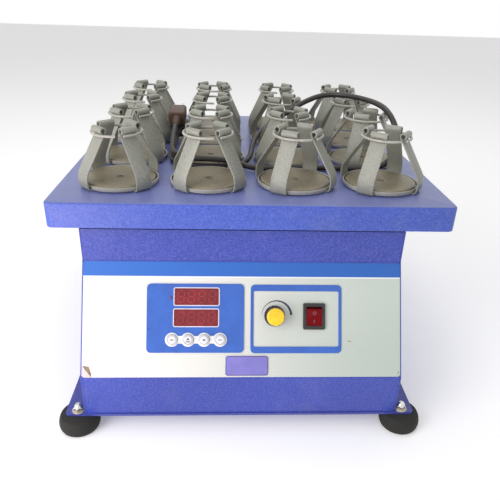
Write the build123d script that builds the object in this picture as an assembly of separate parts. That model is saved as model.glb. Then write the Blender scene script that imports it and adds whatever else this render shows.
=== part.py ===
from build123d import *
import os
from math import atan2, cos, degrees, hypot, pi, radians, sin, tan

# An orbital shaker for conical flasks: a box with a sloping control panel carries a square deck
# on one driven and three idling cranks, so that the deck circles without turning.
# Millimetres, +Z up, +X to the user's right, -Y towards the user.
# The origin is on the floor under the middle of the footprint, with the cranks pointing to +X.

# Overall sizes of the base
BODY_WIDTH = 372.0
BODY_DEPTH = 493.0
BODY_HEIGHT = 210.0
LOWER_STRIP_HEIGHT = 51.0
SLOPE_RISE = 121.0
SLOPE_RUN = 65.0
SHEET = 1.5
BEND_RADIUS = 3.0
COVER_GAP = 0.3

# Base plate and feet
BASE_PLATE_THICKNESS = 3.0
FLANGE_SIDE_MARGIN = 23.0
FLANGE_FRONT_MARGIN = 1.5
FLANGE_CORNER_CUT = 3.0
FOOT_DIAMETER = 48.0
FOOT_TOP_DIAMETER = 42.0
FOOT_HEIGHT = 19.0
FOOT_BOTTOM_DIAMETER = 44.0
FOOT_BELLY_HEIGHT = 8.0
FOOT_SIDE_REACH = 8.5
FOOT_END_INSET = 5.5
FOOT_BOLT_DIAMETER = 6.0
FOOT_NUT_SIZE = 10.0
FOOT_NUT_HEIGHT = 5.5
FOOT_DOME_HEIGHT = 4.5

# Deck, carrier and orbit
ORBIT_RADIUS = 9.5
DECK_SIZE = 457.0
DECK_DEPTH = 29.0
DECK_SHEET = 2.0
DECK_CORNER_RADIUS = 9.0
DECK_EDGE = 1.8
DECK_GAP = 6.0
DECK_CENTRE_Y = 36.0
CARRIER_SIZE = 320.0
CARRIER_THICKNESS = 6.0
CARRIER_CORNER_CUT = 25.0

# Cranks and their bearings
PLATE_THICKNESS = 8.0
CRANK_WEB_THICKNESS = 7.0
CRANK_WEB_GAP = 2.0
CRANK_PIN_DIAMETER = 12.0
CRANK_PIN_LENGTH = 16.0
MAIN_WEB_DIAMETER = 54.0
MAIN_SHAFT_DIAMETER = 20.0
MAIN_SHAFT_LENGTH = 134.0
MAIN_HOUSING_DIAMETER = 60.0
MAIN_HOUSING_LENGTH = 62.0
MAIN_FLANGE_SIZE = 84.0
HOUSING_FLANGE_THICKNESS = 8.0
IDLER_CIRCLE_RADIUS = 130.0
IDLER_COUNT = 3
IDLER_FIRST_ANGLE = -90.0
IDLER_SHAFT_DIAMETER = 12.0
IDLER_HOUSING_DIAMETER = 42.0
IDLER_HOUSING_LENGTH = 24.0
IDLER_FLANGE_SIZE = 58.0
IDLER_WEB_WIDTH = 26.0
IDLER_WEB_CUT = 7.0
HUB_DIAMETER = 36.0
HUB_LIP = 1.0
RUNNING_CLEARANCE = 0.04
SEAT_CLEARANCE = 0.02
CRANK_END_GAP = 2.0

# Belt drive
PULLEY_DIAMETER = 160.0
PULLEY_WIDTH = 18.0
PULLEY_FLANGE = 4.0
PULLEY_FLANGE_THICKNESS = 2.0
PULLEY_WEB_THICKNESS = 6.0
PULLEY_HUB_DIAMETER = 40.0
PULLEY_RIM = 10.0
MOTOR_PULLEY_DIAMETER = 40.0
BELT_WIDTH = 12.0
BELT_THICKNESS = 3.0
BELT_CLEARANCE = 0.3
MOTOR_DISTANCE = 130.0
MOTOR_DIAMETER = 76.0
MOTOR_LENGTH = 76.0
MOTOR_CAP_HEIGHT = 10.0
MOTOR_CAP_DIAMETER = 40.0
MOTOR_SHAFT_DIAMETER = 8.0
MOTOR_BOSS_DIAMETER = 22.0
MOTOR_BOSS_HEIGHT = 5.0
BRACKET_SIZE = 104.0
BRACKET_THICKNESS = 5.0
BRACKET_POST_SIZE = 12.0
BRACKET_POST_INSET = 9.0
COUNTERWEIGHT_THICKNESS = 9.0
COUNTERWEIGHT_INNER_RADIUS = 34.0
COUNTERWEIGHT_ANGLE = 150.0

# Corner posts, rear panel and small hardware of the base
POST_SIZE = 20.0
POST_WALL = 2.0
POST_INSET = 6.0
VENT_COUNT = 9
VENT_PITCH = 11.0
VENT_LENGTH = 70.0
VENT_WIDTH = 4.0
VENT_CENTRE_X = 90.0
VENT_CENTRE_Z = 150.0
INLET_CENTRE_X = -110.0
INLET_CENTRE_Z = 62.0
INLET_WIDTH = 27.0
INLET_HEIGHT = 20.0
INLET_WALL = 1.6
INLET_DEPTH = 22.0
INLET_CAVITY_DEPTH = 17.0
INLET_FLANGE_WIDTH = 50.0
INLET_FLANGE_HEIGHT = 26.0
INLET_FLANGE_THICKNESS = 2.5
INLET_FLANGE_CUT = 3.0
INLET_PIN_LENGTH = 9.0
INLET_PIN_PITCH = 7.0
INLET_PIN_WIDTH = 2.0
INLET_PIN_HEIGHT = 4.0

# Control panel. Places on the slope are right of its middle and up from its middle.
LABEL_SIDE_MARGIN = 1.5
LABEL_END_MARGIN = 2.2
LABEL_THICKNESS = 0.5
LABEL_CORNER_CUT = 2.0
BEZEL_CENTRE = (-55.6, 1.4)
BEZEL_WIDTH = 112.0
BEZEL_HEIGHT = 79.5
BEZEL_THICKNESS = 1.0
BEZEL_CORNER_CUT = 3.5
WINDOW_WIDTH = 51.0
WINDOW_HEIGHT = 19.4
WINDOW_CENTRES = ((-54.4, 26.2), (-54.9, 1.9))
WINDOW_PROUD = 0.3
WINDOW_CORNER_CUT = 1.2
BUTTON_COUNT = 4
BUTTON_PITCH = 18.4
BUTTON_FIRST_X = -82.3
BUTTON_Y = -23.3
BUTTON_DIAMETER = 12.4
BUTTON_PROUD = 2.2
BUTTON_STEM_SIZE = 5.0
BUTTON_STEM_LENGTH = 7.0
BUTTON_COLLAR_SIZE = 15.0
BUTTON_EDGE = 0.8
BUTTON_COLLAR_THICKNESS = 1.0
BUTTON_TRAVEL = 1.2
BUTTON_CLEARANCE = 0.3
BUTTON_RING_DIAMETER = 16.2
BUTTON_RING_THICKNESS = 0.8
BUTTON_BAND_HEIGHT = 8.6
FRAME_CENTRE = (61.3, 0.8)
FRAME_WIDTH = 106.4
FRAME_HEIGHT = 79.4
FRAME_THICKNESS = 0.8
FRAME_INNER_WIDTH = 99.8
FRAME_INNER_HEIGHT = 64.4
FRAME_CORNER_CUT = 3.5
FRAME_INNER_CUT = 1.5
KNOB_CENTRE = (35.7, 4.6)
KNOB_SKIRT_DIAMETER = 22.0
KNOB_SKIRT_HEIGHT = 14.0
KNOB_FLARE_DIAMETER = 24.0
KNOB_FLARE_HEIGHT = 3.0
KNOB_CAP_DIAMETER = 20.0
KNOB_CAP_HEIGHT = 3.5
KNOB_FLUTE_COUNT = 18
KNOB_FLUTE_DEPTH = 0.7
KNOB_BORE_END = 2.0
KNOB_CAP_EDGE = 1.2
KNOB_LINE_WIDTH = 1.2
KNOB_LINE_DEPTH = 0.4
KNOB_GAP = 0.8
KNOB_SHAFT_DIAMETER = 6.0
KNOB_POINTER_ANGLE = 62.0
POT_DIAMETER = 24.0
POT_DEPTH = 14.0
POT_BUSH_DIAMETER = 9.5
POT_BUSH_LENGTH = 5.0
SWITCH_CENTRE = (82.3, 3.9)
SWITCH_BEZEL_WIDTH = 25.6
SWITCH_BEZEL_HEIGHT = 30.6
SWITCH_BEZEL_THICKNESS = 2.2
SWITCH_BEZEL_CUT = 1.2
SWITCH_BODY_WIDTH = 21.6
SWITCH_BODY_HEIGHT = 27.4
SWITCH_BODY_DEPTH = 26.0
SWITCH_WELL_WIDTH = 18.2
SWITCH_WELL_HEIGHT = 22.4
SWITCH_WELL_DEPTH = 9.0
ROCKER_CLEARANCE = 0.35
ROCKER_TILT = 12.0
ROCKER_PIVOT_DEPTH = 3.0
ROCKER_PIN_DIAMETER = 3.0
ROCKER_THICKNESS = 5.6
ROCKER_CREST = 3.4
ROCKER_END_LIFT = 1.9
PLATE_CENTRE = (4.0, -53.4)
PLATE_WIDTH = 49.0
PLATE_HEIGHT = 22.4
PLATE_DEPTH = 1.0
PLATE_CORNER_CUT = 2.0
BOARD_DEPTH = 18.0
BOARD_THICKNESS = 1.6
BOARD_MARGIN = 2.0
BOARD_POST_SIZE = 6.0
BOARD_POST_INSET = 6.0
MODULE_HEIGHT = 8.0
MODULE_MARGIN = 1.5
TACT_SIZE = 6.0
POWER_BOARD_WIDTH = 150.0
POWER_BOARD_DEPTH = 95.0
POWER_BOARD_STANDOFF = 10.0
POWER_BOARD_Y = -175.0
HEAT_SINK_LENGTH = 90.0
HEAT_SINK_HEIGHT = 38.0
HEAT_SINK_WIDTH = 28.0
HEAT_SINK_FINS = 5
CAPACITOR_DIAMETER = 25.0
CAPACITOR_HEIGHT = 40.0

# Flask clamps, measured from the deck's top face and from each clamp's own middle
CLAMP_COLUMNS = 4
CLAMP_ROWS = 4
CLAMP_PITCH_X = 105.0
CLAMP_PITCH_Y = 102.0
CLAMP_TURNS = (
    (-47.0, -40.0, -30.0, -36.0),
    (-42.0, -45.0, -50.0, -28.0),
    (-38.0, -48.0, -33.0, -52.0),
    (-44.0, -37.0, -55.0, -41.0),
)
ROUND_FLATS = 12
ARMS_PER_CLAMP = 4
ARM_WIDTH = 18.0
ARM_THICKNESS = 1.6
ARM_ROOT_RADIUS = 33.0
ARM_HEEL_RADIUS = 47.4
ARM_BELLY_RADIUS = 49.4
ARM_BELLY_HEIGHT = 9.0
ARM_WAIST_RADIUS = 47.8
ARM_WAIST_HEIGHT = 20.0
ROLL_RADIUS = 3.6
ROLL_CENTRE_RADIUS = 23.4
ROLL_CENTRE_HEIGHT = 65.0
ROLL_START_ANGLE = 210.0
ROLL_ANGLE = 270.0
ROLL_FLATS = 3
DISC_THICKNESS = 3.4
HOOP_DIAMETER = 91.0
HOOP_THICKNESS = 1.5
HOOP_HEIGHT = 4.8
RING_WIRE_DIAMETER = 2.8
RING_RADIUS = 26.9
RING_DROP = 3.0
RING_GAP = 4.0
RING_FLATS = 8

# Power cord, lying on the deck among the clamps
CORD_DIAMETER = 7.5
CORD_FLATS = 5
CORD_ARC_SHARE = 0.45
CORD_ROUTE = (
    (-104.0, 8.0, 16.0), (-104.0, -14.0, 16.0), (-105.0, -37.0, 10.0), (-105.5, -60.0, 4.5),
    (-101.0, -83.0, 4.3), (-84.0, -100.0, 4.3), (-60.0, -102.3, 4.3), (-36.0, -101.5, 4.3),
    (-11.0, -95.0, 4.4), (1.0, -74.0, 8.5), (4.0, -50.0, 15.0), (9.0, -27.0, 23.0),
    (23.0, -8.0, 33.0), (44.0, 6.0, 44.5), (65.0, 17.0, 56.0), (87.0, 28.0, 66.5),
    (110.0, 33.5, 74.0), (134.0, 27.0, 76.5), (153.0, 10.0, 76.5), (166.0, -12.0, 76.5),
    (174.0, -37.0, 76.5), (180.0, -62.0, 74.0), (187.0, -82.0, 62.0), (191.5, -95.0, 42.0),
    (188.0, -101.0, 21.0), (172.0, -102.0, 6.5), (147.0, -103.3, 4.3), (122.0, -102.8, 4.3),
    (97.0, -101.0, 4.3), (72.0, -100.3, 4.3), (47.0, -102.2, 4.3), (23.0, -109.5, 4.3),
    (-1.0, -112.0, 6.5), (-24.0, -104.5, 12.6), (-48.0, -103.5, 14.3), (-72.0, -102.5, 14.3),
    (-93.0, -90.0, 14.3), (-103.5, -68.0, 14.6), (-105.0, -44.0, 20.5), (-105.0, -20.8, 29.6),
    (-105.0, 3.0, 32.5),
)
CONNECTOR_WIDTH = 27.0
CONNECTOR_HEIGHT = 18.0
CONNECTOR_LENGTH = 44.0
CONNECTOR_CHAMFER = 5.0
RELIEF_LENGTH = 25.0
RELIEF_DIAMETER = 12.5
RELIEF_TIP_DIAMETER = 9.0
PLUG_WIDTH = 25.0
PLUG_HEIGHT = 20.0
PLUG_LENGTH = 36.0
PLUG_CHAMFER = 4.0
PLUG_BLADE_LENGTH = 17.0
PLUG_BLADE_WIDTH = 6.3
PLUG_BLADE_THICKNESS = 1.5
PLUG_BLADE_PITCH = 12.7
PLUG_EARTH_DIAMETER = 4.8
PLUG_EARTH_LENGTH = 20.0
PLUG_EARTH_DROP = 5.0
PLUG_BLADE_LIFT = 4.0

# How many flats stand for a circle on pieces that don't turn in or on another
FOOT_FLATS = 16
LARGE_FLATS = 18
MIDDLE_FLATS = 12
SMALL_FLATS = 8

# Places that follow from the sizes above
BASE_X = -ORBIT_RADIUS
FLOOR_TOP = FOOT_HEIGHT + BASE_PLATE_THICKNESS
FOOT_SPACING_X = BODY_WIDTH + 2 * FOOT_SIDE_REACH
FOOT_SPACING_Y = BODY_DEPTH - 2 * FOOT_END_INSET
BODY_TOP = FLOOR_TOP + BODY_HEIGHT
BODY_FRONT = -BODY_DEPTH / 2
BODY_REAR = BODY_DEPTH / 2
SLOPE_BOTTOM_Z = FLOOR_TOP + LOWER_STRIP_HEIGHT
SLOPE_TOP_Z = SLOPE_BOTTOM_Z + SLOPE_RISE
UPPER_FRONT = BODY_FRONT + SLOPE_RUN
SLOPE_TILT = degrees(atan2(SLOPE_RUN, SLOPE_RISE))
LABEL_WIDTH = BODY_WIDTH - 2 * LABEL_SIDE_MARGIN
LABEL_HEIGHT = hypot(SLOPE_RUN, SLOPE_RISE) - 2 * LABEL_END_MARGIN
PLATE_UNDERSIDE = BODY_TOP - PLATE_THICKNESS
DECK_UNDERSIDE = BODY_TOP + DECK_GAP + DECK_DEPTH - DECK_SHEET
DECK_TOP = DECK_UNDERSIDE + DECK_SHEET
CARRIER_BOTTOM = DECK_UNDERSIDE - CARRIER_THICKNESS
WEB_BOTTOM = BODY_TOP + CRANK_WEB_GAP
WEB_TOP = WEB_BOTTOM + CRANK_WEB_THICKNESS
HUB_BOTTOM = WEB_TOP + CRANK_END_GAP
SHAFT_XY = (BASE_X, DECK_CENTRE_Y)
PULLEY_TOP = WEB_BOTTOM - MAIN_SHAFT_LENGTH + PULLEY_WIDTH
MOTOR_XY = (SHAFT_XY[0], SHAFT_XY[1] + MOTOR_DISTANCE)
BRACKET_BOTTOM = PULLEY_TOP + COUNTERWEIGHT_THICKNESS + 3.0
MOTOR_BOTTOM = BRACKET_BOTTOM + BRACKET_THICKNESS
CLAMP_DISC_BOTTOM = DECK_TOP + ARM_THICKNESS
SLOPE = Plane(
    origin=(BASE_X, (BODY_FRONT + UPPER_FRONT) / 2, (SLOPE_BOTTOM_Z + SLOPE_TOP_Z) / 2),
    x_dir=(1, 0, 0),
    z_dir=(0, -SLOPE_RISE, SLOPE_RUN),
)
REAR = Plane(origin=(BASE_X, BODY_REAR, 0), x_dir=(-1, 0, 0), z_dir=(0, 1, 0))


def write(name, *solids):
    """Writes the solids of one node, each kept apart, as parts/name.step."""
    os.makedirs("parts", exist_ok=True)
    pieces = []
    for shape in solids:
        pieces.extend(shape.solids())
    for piece in pieces:
        piece.label = name
    export_step(Compound(label=name, children=pieces), f"parts/{name}.step")


def rod(x, y, bottom, top, radius):
    """An upright cylinder between two heights."""
    return Pos(x, y, (bottom + top) / 2) * Cylinder(radius, top - bottom)


def block(low, high):
    """A box between two corners."""
    size = [b - a for a, b in zip(low, high)]
    middle = [(a + b) / 2 for a, b in zip(low, high)]
    return Pos(*middle) * Box(*size)


def on_slope(sketch, place, low, high):
    """A sketch laid on the slope at a place and raised between two heights over the cover."""
    laid = SLOPE * Pos(place[0], place[1], low) * sketch
    return extrude(laid, amount=high - low, dir=SLOPE.z_dir)


def slope_rod(place, low, high, radius):
    """A cylinder standing on the slope between two heights over the cover."""
    return SLOPE * Pos(place[0], place[1], (low + high) / 2) * Cylinder(radius, high - low)


def prism(x, y, bottom, top, radius, flats):
    """An upright prism whose corners lie on a circle."""
    return Pos(x, y, bottom) * extrude(RegularPolygon(radius, flats), top - bottom)


def prism_hole(x, y, bottom, top, radius, flats):
    """An upright prism whose flats touch a circle, to cut a hole that clears a prism or a rod."""
    outline = RegularPolygon(radius, flats, major_radius=False)
    return Pos(x, y, bottom) * extrude(outline, top - bottom)


def tapered(bottom, top, lower, upper, flats):
    """A prism about Z that narrows or widens from one radius to another."""
    angle = degrees(atan2((lower - upper) * cos(pi / flats), top - bottom))
    return Pos(0, 0, bottom) * extrude(RegularPolygon(lower, flats), top - bottom, taper=angle)


def cut_rectangle(width, height, cut):
    """A rectangle with its four corners cut off."""
    return chamfer(Rectangle(width, height).vertices(), cut)


def foot_places():
    """The middles of the four feet."""
    half_x, half_y = FOOT_SPACING_X / 2, FOOT_SPACING_Y / 2
    return [(BASE_X + sx * half_x, sy * half_y) for sy in (-1, 1) for sx in (-1, 1)]


def idler_places():
    """The middles of the idling cranks' lower shafts."""
    places = []
    for i in range(IDLER_COUNT):
        angle = radians(IDLER_FIRST_ANGLE + 360 / IDLER_COUNT * i)
        reach_x = IDLER_CIRCLE_RADIUS * cos(angle)
        reach_y = IDLER_CIRCLE_RADIUS * sin(angle)
        places.append((SHAFT_XY[0] + reach_x, SHAFT_XY[1] + reach_y))
    return places


def clamp_places():
    """Row, column, middle and turn of each clamp; the first row is nearest the user."""
    places = []
    for row in range(CLAMP_ROWS):
        for column in range(CLAMP_COLUMNS):
            x = (column - (CLAMP_COLUMNS - 1) / 2) * CLAMP_PITCH_X
            y = DECK_CENTRE_Y + (row - (CLAMP_ROWS - 1) / 2) * CLAMP_PITCH_Y
            places.append((row, column, x, y, CLAMP_TURNS[row][column]))
    return places


def button_places():
    """The middles of the buttons on the slope."""
    return [(BUTTON_FIRST_X + i * BUTTON_PITCH, BUTTON_Y) for i in range(BUTTON_COUNT)]


# Base plate and feet


def base_plate():
    """The floor of the base, with a flange outside the body that the feet are bolted to."""
    width = BODY_WIDTH + 2 * FLANGE_SIDE_MARGIN
    depth = BODY_DEPTH + 2 * FLANGE_FRONT_MARGIN
    outline = cut_rectangle(width, depth, FLANGE_CORNER_CUT)
    plate = Pos(BASE_X, 0, FOOT_HEIGHT) * extrude(outline, BASE_PLATE_THICKNESS)
    hole = FOOT_BOLT_DIAMETER / 2 + SEAT_CLEARANCE
    for x, y in foot_places():
        plate -= prism_hole(x, y, FOOT_HEIGHT - 1, FLOOR_TOP + 1, hole, SMALL_FLATS)
    return plate


def foot(x, y):
    """A rubber foot with a belly."""
    top, side, bottom = FOOT_TOP_DIAMETER / 2, FOOT_DIAMETER / 2, FOOT_BOTTOM_DIAMETER / 2
    lower = tapered(0, FOOT_BELLY_HEIGHT, bottom, side, FOOT_FLATS)
    return Pos(x, y, 0) * (lower + tapered(FOOT_BELLY_HEIGHT, FOOT_HEIGHT, side, top, FOOT_FLATS))


def foot_bolt(x, y):
    """The stud of a foot through the flange, with its domed cap nut on top."""
    stud = prism(x, y, FOOT_HEIGHT, FLOOR_TOP + 0.5, FOOT_BOLT_DIAMETER / 2, SMALL_FLATS)
    hexagon = RegularPolygon(FOOT_NUT_SIZE / 2, 6, major_radius=False)
    nut = Pos(x, y, FLOOR_TOP) * extrude(hexagon, FOOT_NUT_HEIGHT)
    dome_bottom = FLOOR_TOP + FOOT_NUT_HEIGHT
    dome = tapered(
        dome_bottom, dome_bottom + FOOT_DOME_HEIGHT, FOOT_NUT_SIZE / 2, FOOT_NUT_SIZE / 4, SMALL_FLATS
    )
    return stud + nut + Pos(x, y, 0) * dome


# Covers of the base


def front_profile(inset):
    """The front cover's line from its foot to its top, moved inwards."""
    tilt = radians(SLOPE_TILT)
    lower_shift = inset * tan((pi / 2 - tilt) / 2 - (pi / 4 - tilt / 2) + tilt / 2)
    return [
        (BODY_FRONT + inset, FLOOR_TOP),
        (BODY_FRONT + inset, SLOPE_BOTTOM_Z - lower_shift),
        (UPPER_FRONT + inset, SLOPE_TOP_Z - lower_shift),
        (UPPER_FRONT + inset, BODY_TOP),
    ]


def side_outline(inset):
    """The outline of the body seen from its side, moved inwards at the front and the rear."""
    points = front_profile(inset) + [(BODY_REAR - inset, BODY_TOP), (BODY_REAR - inset, FLOOR_TOP)]
    return points


def front_cover():
    """The bent front sheet: lower strip, control slope and upper strip, with its cut-outs."""
    outer, inner = front_profile(0), front_profile(SHEET)
    face = make_face(Plane.YZ * Polyline(*outer, *reversed(inner), close=True))
    width = BODY_WIDTH - 2 * (SHEET + COVER_GAP)
    sheet = extrude(Pos(BASE_X - width / 2, 0, 0) * face, width, dir=(1, 0, 0))
    bends = sheet.edges().filter_by(Axis.X).filter_by(
        lambda e: FLOOR_TOP + 2 < e.center().Z < BODY_TOP - 2
    )
    sheet = fillet(bends, BEND_RADIUS)
    cuts = [on_slope(window_sketch(0), c, -2 * SHEET, 1) for c in WINDOW_CENTRES]
    cuts.append(on_slope(button_slot(), BUTTON_MIDDLE, -2 * SHEET, 1))
    cuts.append(on_slope(bush_sketch(SEAT_CLEARANCE), KNOB_CENTRE, -2 * SHEET, 1))
    cuts.append(on_slope(switch_sketch(SEAT_CLEARANCE), SWITCH_CENTRE, -2 * SHEET, 1))
    for cut in cuts:
        sheet -= cut
    return sheet


def side_cover(side):
    """One flat side sheet; its outline follows the front cover."""
    face = make_face(Plane.YZ * Polyline(*side_outline(0), close=True))
    outer = BASE_X + side * BODY_WIDTH / 2
    start = min(outer, outer - side * SHEET)
    sheet = extrude(Pos(start, 0, 0) * face, SHEET, dir=(1, 0, 0))
    bends = sheet.edges().filter_by(Axis.X).filter_by(
        lambda e: e.center().Y < 0 and FLOOR_TOP + 2 < e.center().Z < BODY_TOP - 2
    )
    return fillet(bends, BEND_RADIUS)


def rear_panel():
    """The rear sheet, with its vents and the cut-out for the power inlet."""
    width = BODY_WIDTH - 2 * (SHEET + COVER_GAP)
    sheet = block(
        (BASE_X - width / 2, BODY_REAR - SHEET, FLOOR_TOP), (BASE_X + width / 2, BODY_REAR, BODY_TOP)
    )
    for i in range(VENT_COUNT):
        z = VENT_CENTRE_Z + (i - (VENT_COUNT - 1) / 2) * VENT_PITCH
        slot = Rectangle(VENT_LENGTH, VENT_WIDTH)
        sheet -= extrude(REAR * Pos(-VENT_CENTRE_X, z, -2 * SHEET) * slot, 3 * SHEET, dir=(0, 1, 0))
    inlet = Rectangle(INLET_WIDTH + 2 * SEAT_CLEARANCE, INLET_HEIGHT + 2 * SEAT_CLEARANCE)
    place = REAR * Pos(-INLET_CENTRE_X, INLET_CENTRE_Z, -2 * SHEET)
    sheet -= extrude(place * inlet, 3 * SHEET, dir=(0, 1, 0))
    return sheet


def post_places():
    """The middles of the four posts between the base plate and the bearing plate."""
    half_x = BODY_WIDTH / 2 - SHEET - COVER_GAP - POST_SIZE / 2
    front = UPPER_FRONT + POST_INSET + POST_SIZE / 2
    rear = BODY_REAR - SHEET - COVER_GAP - POST_SIZE / 2
    return [(BASE_X + sx * half_x, y) for y in (front, rear) for sx in (-1, 1)]


def corner_post(x, y):
    """One square tube post."""
    half = POST_SIZE / 2
    inner = half - POST_WALL
    post = block((x - half, y - half, FLOOR_TOP), (x + half, y + half, PLATE_UNDERSIDE))
    return post - block(
        (x - inner, y - inner, FLOOR_TOP - 1), (x + inner, y + inner, PLATE_UNDERSIDE + 1)
    )


def bearing_plate():
    """The thick plate on the posts that carries every lower bearing and closes the body."""
    half_x = BODY_WIDTH / 2 - SHEET - COVER_GAP
    front = UPPER_FRONT + SHEET + COVER_GAP
    rear = BODY_REAR - SHEET - COVER_GAP
    plate = block((BASE_X - half_x, front, PLATE_UNDERSIDE), (BASE_X + half_x, rear, BODY_TOP))
    low, high = PLATE_UNDERSIDE - 1, BODY_TOP + 1
    plate -= prism_hole(*SHAFT_XY, low, high, MAIN_SHAFT_DIAMETER / 2 + 2, SMALL_FLATS)
    for x, y in idler_places():
        plate -= prism_hole(x, y, low, high, IDLER_SHAFT_DIAMETER / 2 + 2, SMALL_FLATS)
    return plate


# Power inlet and boards


def power_inlet():
    """A snap-in appliance inlet: flange, shrouded cavity and three pins."""
    at = REAR * Pos(-INLET_CENTRE_X, INLET_CENTRE_Z, 0)
    flange = cut_rectangle(INLET_FLANGE_WIDTH, INLET_FLANGE_HEIGHT, INLET_FLANGE_CUT)
    shell = extrude(at * flange, INLET_FLANGE_THICKNESS, dir=(0, 1, 0))
    body = at * Pos(0, 0, -INLET_DEPTH) * Rectangle(INLET_WIDTH, INLET_HEIGHT)
    shell += extrude(body, INLET_DEPTH, dir=(0, 1, 0))
    inner = Rectangle(INLET_WIDTH - 2 * INLET_WALL, INLET_HEIGHT - 2 * INLET_WALL)
    inner = chamfer(inner.vertices().group_by(Axis.Y)[-1], 4)
    floor_depth = INLET_CAVITY_DEPTH - INLET_FLANGE_THICKNESS
    cavity = extrude(at * Pos(0, 0, -floor_depth) * inner, INLET_CAVITY_DEPTH + 1, dir=(0, 1, 0))
    shell -= cavity
    for i, lift in ((-1, -1.5), (0, 2.0), (1, -1.5)):
        pin = Rectangle(INLET_PIN_WIDTH, INLET_PIN_HEIGHT)
        place = at * Pos(i * INLET_PIN_PITCH, lift, -floor_depth)
        shell += extrude(place * pin, INLET_PIN_LENGTH, dir=(0, 1, 0))
    return shell


def control_board():
    """The board behind the displays and buttons, its posts and the switches under the buttons."""
    width, height = BEZEL_WIDTH - 2 * BOARD_MARGIN, BEZEL_HEIGHT - 2 * BOARD_MARGIN
    top = -BOARD_DEPTH
    board = on_slope(Rectangle(width, height), BEZEL_CENTRE, top - BOARD_THICKNESS, top)
    parts = [board]
    for sx in (-1, 1):
        for sy in (-1, 1):
            x = BEZEL_CENTRE[0] + sx * (width / 2 - BOARD_POST_INSET)
            y = BEZEL_CENTRE[1] + sy * (height / 2 - BOARD_POST_INSET)
            parts.append(on_slope(Rectangle(BOARD_POST_SIZE, BOARD_POST_SIZE), (x, y), top, -SHEET))
    stem_end = BUTTON_PROUD_TOP - BUTTON_PROUD - 2 * SHEET - BUTTON_STEM_LENGTH
    tact_top = min(stem_end - BUTTON_TRAVEL - 0.3, top + 6)
    for place in button_places():
        parts.append(on_slope(Rectangle(TACT_SIZE, TACT_SIZE), place, top, tact_top))
    return parts


def display_modules():
    """The two four-digit modules that stand on the board behind the windows."""
    modules = []
    for centre in WINDOW_CENTRES:
        outline = Rectangle(WINDOW_WIDTH - 2 * MODULE_MARGIN, WINDOW_HEIGHT - 2 * MODULE_MARGIN)
        modules.append(on_slope(outline, centre, -BOARD_DEPTH, -BOARD_DEPTH + MODULE_HEIGHT))
    return modules


def power_board():
    """The motor drive's board on the base plate, with its posts, heat sink and capacitor."""
    half = POWER_BOARD_WIDTH / 2
    bottom = FLOOR_TOP + POWER_BOARD_STANDOFF
    top = bottom + BOARD_THICKNESS
    front, rear = POWER_BOARD_Y - POWER_BOARD_DEPTH / 2, POWER_BOARD_Y + POWER_BOARD_DEPTH / 2
    parts = [block((BASE_X - half, front, bottom), (BASE_X + half, rear, top))]
    for sx in (-1, 1):
        for y in (front + BOARD_POST_INSET, rear - BOARD_POST_INSET):
            x = BASE_X + sx * (half - BOARD_POST_INSET)
            reach = BOARD_POST_SIZE / 2
            parts.append(block((x - reach, y - reach, FLOOR_TOP), (x + reach, y + reach, bottom)))
    low = (BASE_X - HEAT_SINK_LENGTH / 2, rear - HEAT_SINK_WIDTH - BOARD_POST_SIZE, top)
    high = (low[0] + HEAT_SINK_LENGTH, low[1] + HEAT_SINK_WIDTH, top + HEAT_SINK_HEIGHT)
    sink = block(low, high)
    pitch = HEAT_SINK_WIDTH / (2 * HEAT_SINK_FINS - 1)
    for i in range(HEAT_SINK_FINS - 1):
        y = low[1] + (2 * i + 1) * pitch
        sink -= block((low[0] - 1, y, top + 4), (high[0] + 1, y + pitch, high[2] + 1))
    can_y = front + CAPACITOR_DIAMETER
    can = prism(
        BASE_X + half / 2, can_y, top, top + CAPACITOR_HEIGHT, CAPACITOR_DIAMETER / 2, SMALL_FLATS
    )
    return parts + [sink, can]


# Control panel

BUTTON_MIDDLE = (BUTTON_FIRST_X + (BUTTON_COUNT - 1) * BUTTON_PITCH / 2, BUTTON_Y)
BUTTON_SLOT_HEIGHT = BUTTON_DIAMETER + 2 * BUTTON_CLEARANCE
BUTTON_PROUD_TOP = LABEL_THICKNESS + BEZEL_THICKNESS + BUTTON_RING_THICKNESS + BUTTON_PROUD


def window_sketch(inset):
    """A display window's outline, made smaller all round by the inset."""
    return cut_rectangle(WINDOW_WIDTH - 2 * inset, WINDOW_HEIGHT - 2 * inset, WINDOW_CORNER_CUT)


def button_slot():
    """The opening behind the bezel that all the buttons pass through."""
    length = (BUTTON_COUNT - 1) * BUTTON_PITCH + BUTTON_SLOT_HEIGHT
    return Rectangle(length, BUTTON_SLOT_HEIGHT)


def button_hole():
    """The outline that each button slides through."""
    return RegularPolygon(BUTTON_DIAMETER / 2 + BUTTON_CLEARANCE, MIDDLE_FLATS)


def bush_sketch(gap):
    """The outline of the speed control's bush, made larger all round by the gap."""
    return RegularPolygon(POT_BUSH_DIAMETER / 2 + gap, SMALL_FLATS)


def switch_sketch(gap):
    """The rocker switch's body outline, made larger all round by the gap."""
    return Rectangle(SWITCH_BODY_WIDTH + 2 * gap, SWITCH_BODY_HEIGHT + 2 * gap)


def control_label():
    """The thin sheet that covers the slope, open where the controls come through."""
    sketch = cut_rectangle(LABEL_WIDTH, LABEL_HEIGHT, LABEL_CORNER_CUT)
    sheet = on_slope(sketch, (0, 0), 0, LABEL_THICKNESS)
    for centre in WINDOW_CENTRES:
        sheet -= on_slope(window_sketch(0), centre, -1, LABEL_THICKNESS + 1)
    sheet -= on_slope(button_slot(), BUTTON_MIDDLE, -1, LABEL_THICKNESS + 1)
    sheet -= on_slope(bush_sketch(SEAT_CLEARANCE), KNOB_CENTRE, -1, LABEL_THICKNESS + 1)
    sheet -= on_slope(switch_sketch(SEAT_CLEARANCE), SWITCH_CENTRE, -1, LABEL_THICKNESS + 1)
    return sheet


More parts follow.
